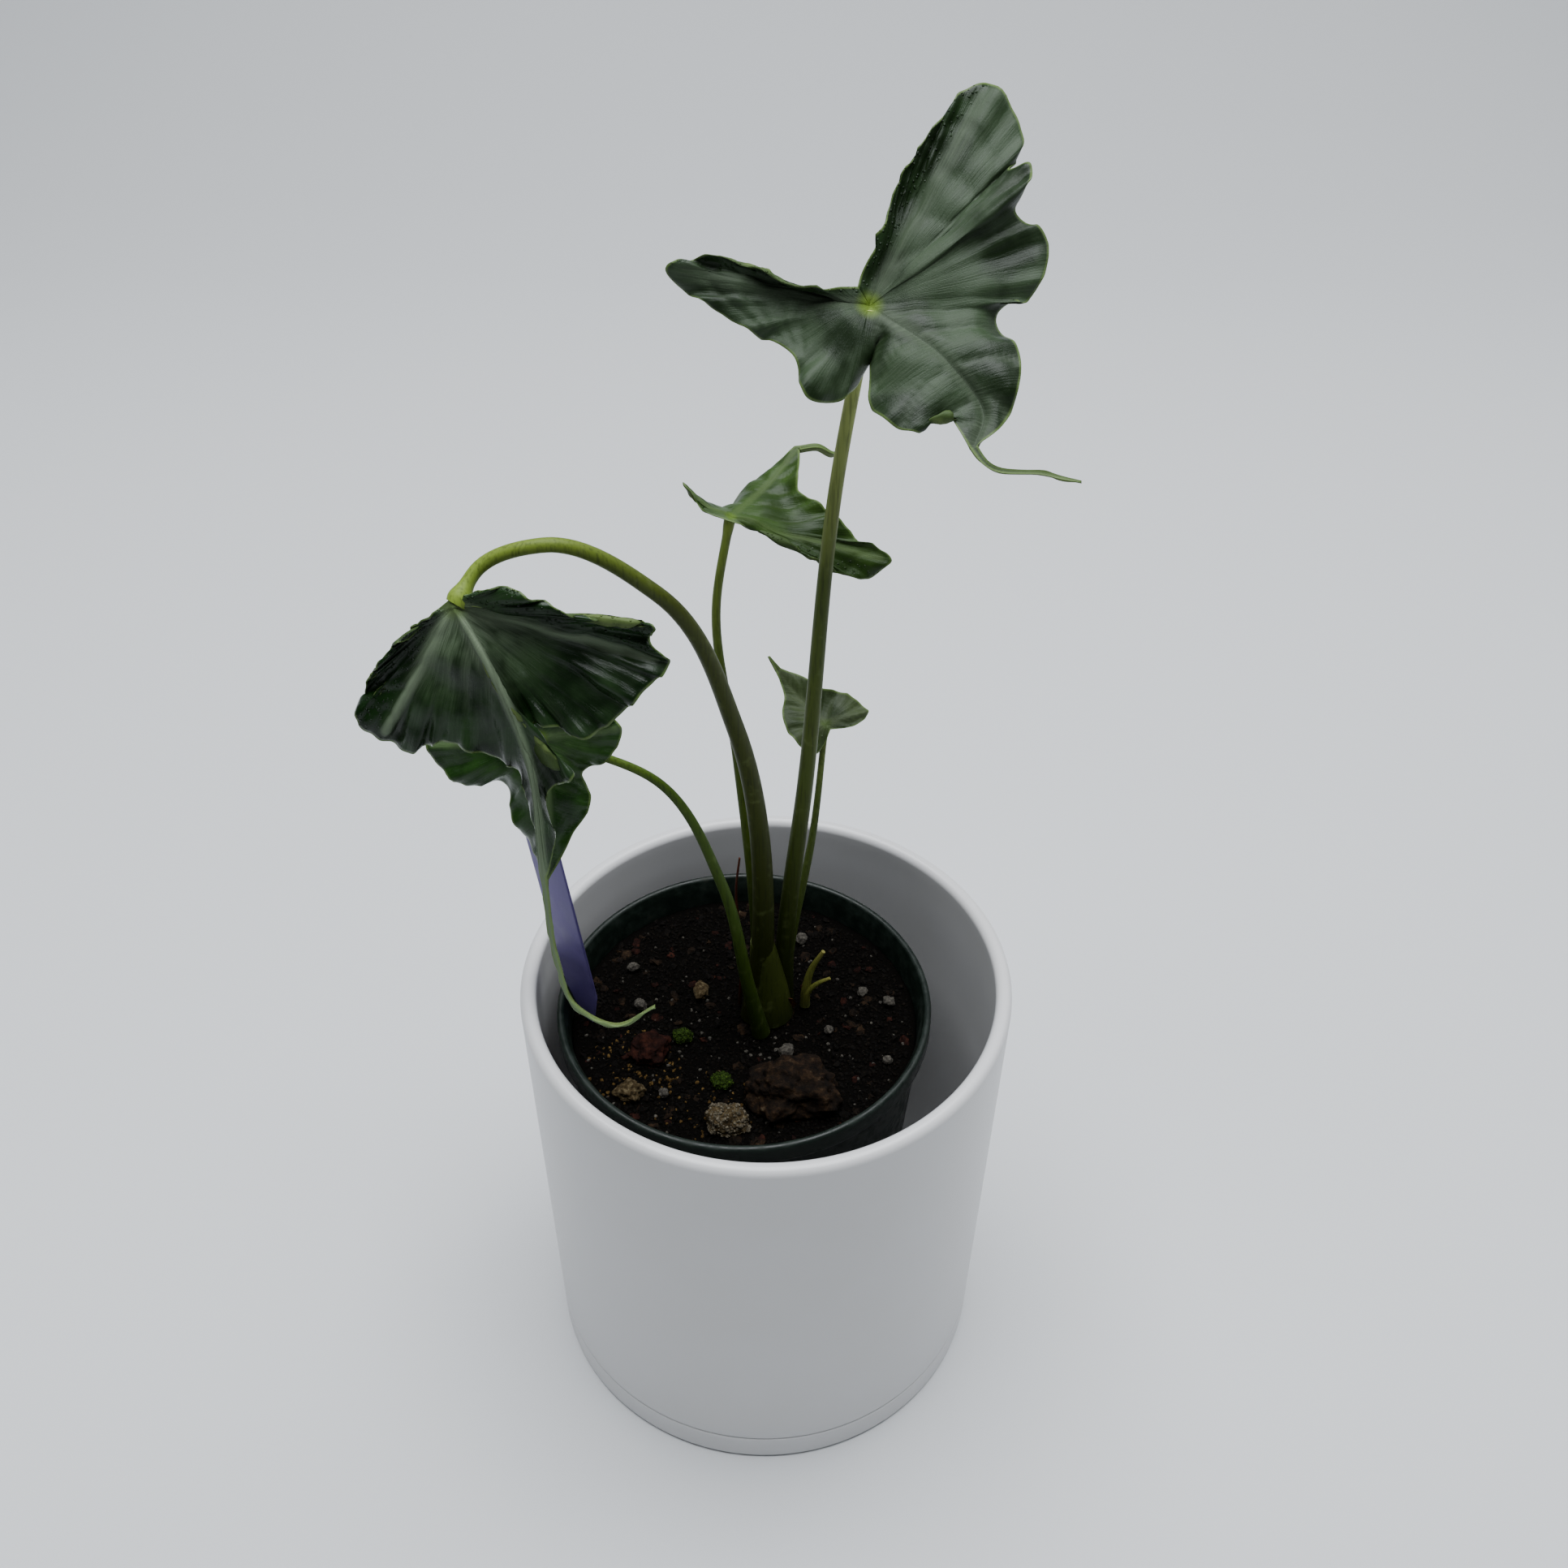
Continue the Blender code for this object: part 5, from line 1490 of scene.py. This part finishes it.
# %% Grains on the soil
EVERYWHERE = (0, 0.0, soil_radius)
GRAINS = {
    "crumbs": (EVERYWHERE, crumb_finish, "soil", 0.75, 1.5, 11, 0.75, 3.1, 1),
    "coarse_crumbs": (EVERYWHERE, crumb_finish, "soil", 0.05, 3.0, 12, 0.6, 3.1, 1),
    "bark_flakes": (EVERYWHERE, bark_finish, "bark", 0.012, 4.2, 13, 0.28, 0.5, 2),
    "brown_flakes": (EVERYWHERE, red_bark_finish, "red_bark", 0.008, 3.4, 14, 0.3, 0.5, 2),
    "perlite_bits": (EVERYWHERE, perlite_finish, "perlite", 0.022, 1.2, 15, 0.85, 3.1, 2),
    "perlite_near_crown": ((-58, 0.3, 9), perlite_finish, "perlite", 0.09, 1.5, 16, 0.85, 3.1, 2),
    "golden_bits": ((-150, 0.72, 14), golden_finish, "pale_bark", 0.16, 1.3, 17, 0.85, 3.1, 2),
    "golden_bits_front": ((-108, 0.7, 15), golden_finish, "pale_bark", 0.09, 1.2, 18, 0.85, 3.1,
                          2),
}
for name, (where, *rest) in GRAINS.items():
    grains(name, ground_patch(*where), *rest)

# %% [markdown]
# The crust on the bark is made of small beads, and a moss cushion of tiny leaflets. The same tree
# grows them, on a copy of the lump's own surface.

# %% Beads and leaflets


def copy_to_grow_on(source):
    """A second object with a piece's surface, which the tree may use up."""
    return placed_in_scene("patch", source.data.copy())


bead_finish = rough_finish("pale_crust_beads", (0.3, "25211a"), (0.5, "464034"), (0.7, "6c6556"),
                           size=0.8, relief=0.2)
grains("crust_beads", copy_to_grow_on(crust_lump), bead_finish, "pale_bark", 1.3, 1.1, 21, 0.8,
       3.1, 2)
grains("moss_leaflets_front", copy_to_grow_on(moss_front_lump), moss_finish, "moss", 6.0, 0.9,
       22, 0.25, 3.1, 1)
grains("moss_leaflets_left", copy_to_grow_on(moss_left_lump), moss_finish, "moss", 6.0, 0.9, 23,
       0.25, 3.1, 1)

# %% [markdown]
# ## Plant label
#
# The label is a strip of violet plastic with a point at the foot, pushed into the mix and leaning
# towards the rim. Nothing is written on it. Its edges are rounded, because cut plastic catches light
# along them.

# %% Violet label
label_finish, tree, shader = finish_material("violet_plastic", Specular_IOR_Level=0.3)
place = texture_place(tree, 1.0)
haze = noise_at(tree, place, scale=0.2, detail=4.0)
paint(tree, shader, ramp(tree, haze, (0.35, "544a80"), (0.65, "61568c")))
tree.links.new(remap(tree, haze, 0.35, 0.65, 0.36, 0.5), shader.inputs["Roughness"])
bump(tree, shader, noise_at(tree, place, scale=0.8, detail=3.0), 0.02)


LABEL_FROM_WALL = 5.4
LABEL_DEPTH = 6.0
LABEL_LEAN = math.radians(-6.5)
LABEL_TURN = math.radians(-38.0)


def label_mesh():
    """The strip in its own frame, rounded, then leant towards the rim and turned."""
    half, thick, long, point = 6.0, 0.8, 80.0, 18.0
    corner = 2.2
    outline = [(0.0, 0.0), (half, point)]
    outline += arc((half - corner, long - corner), corner, 0, 90, 8)
    outline += arc((corner - half, long - corner), corner, 90, 180, 8)
    outline += [(-half, point)]
    bm = bmesh.new()
    face = bm.faces.new([bm.verts.new((x, -thick / 2, z)) for x, z in outline])
    grown_out = bmesh.ops.extrude_face_region(bm, geom=[face])
    far = [item for item in grown_out["geom"] if isinstance(item, bmesh.types.BMVert)]
    bmesh.ops.translate(bm, vec=(0.0, thick, 0.0), verts=far)
    bmesh.ops.recalc_face_normals(bm, faces=bm.faces)
    sharp = [edge for edge in bm.edges if edge.calc_face_angle(0.0) > 1.2]
    bmesh.ops.bevel(bm, geom=sharp, offset=0.22, segments=3, profile=0.5, affect="EDGES")
    foot_x = nursery_x - soil_radius + LABEL_FROM_WALL
    place = (Matrix.Translation((foot_x, nursery_y, soil_top - LABEL_DEPTH))
             @ Matrix.Rotation(LABEL_LEAN, 4, "Y") @ Matrix.Rotation(LABEL_TURN, 4, "Z"))
    bmesh.ops.transform(bm, matrix=place, verts=bm.verts)
    return mesh_of(bm, "label", 35.0)


piece("violet_label", label_mesh(), label_finish, "label", "plant_label")

# %% [markdown]
# ## Size
#
# Ruffles and tails may grow a few millimetres past the frame's box, and no further.

# %% End
print("all pieces made")
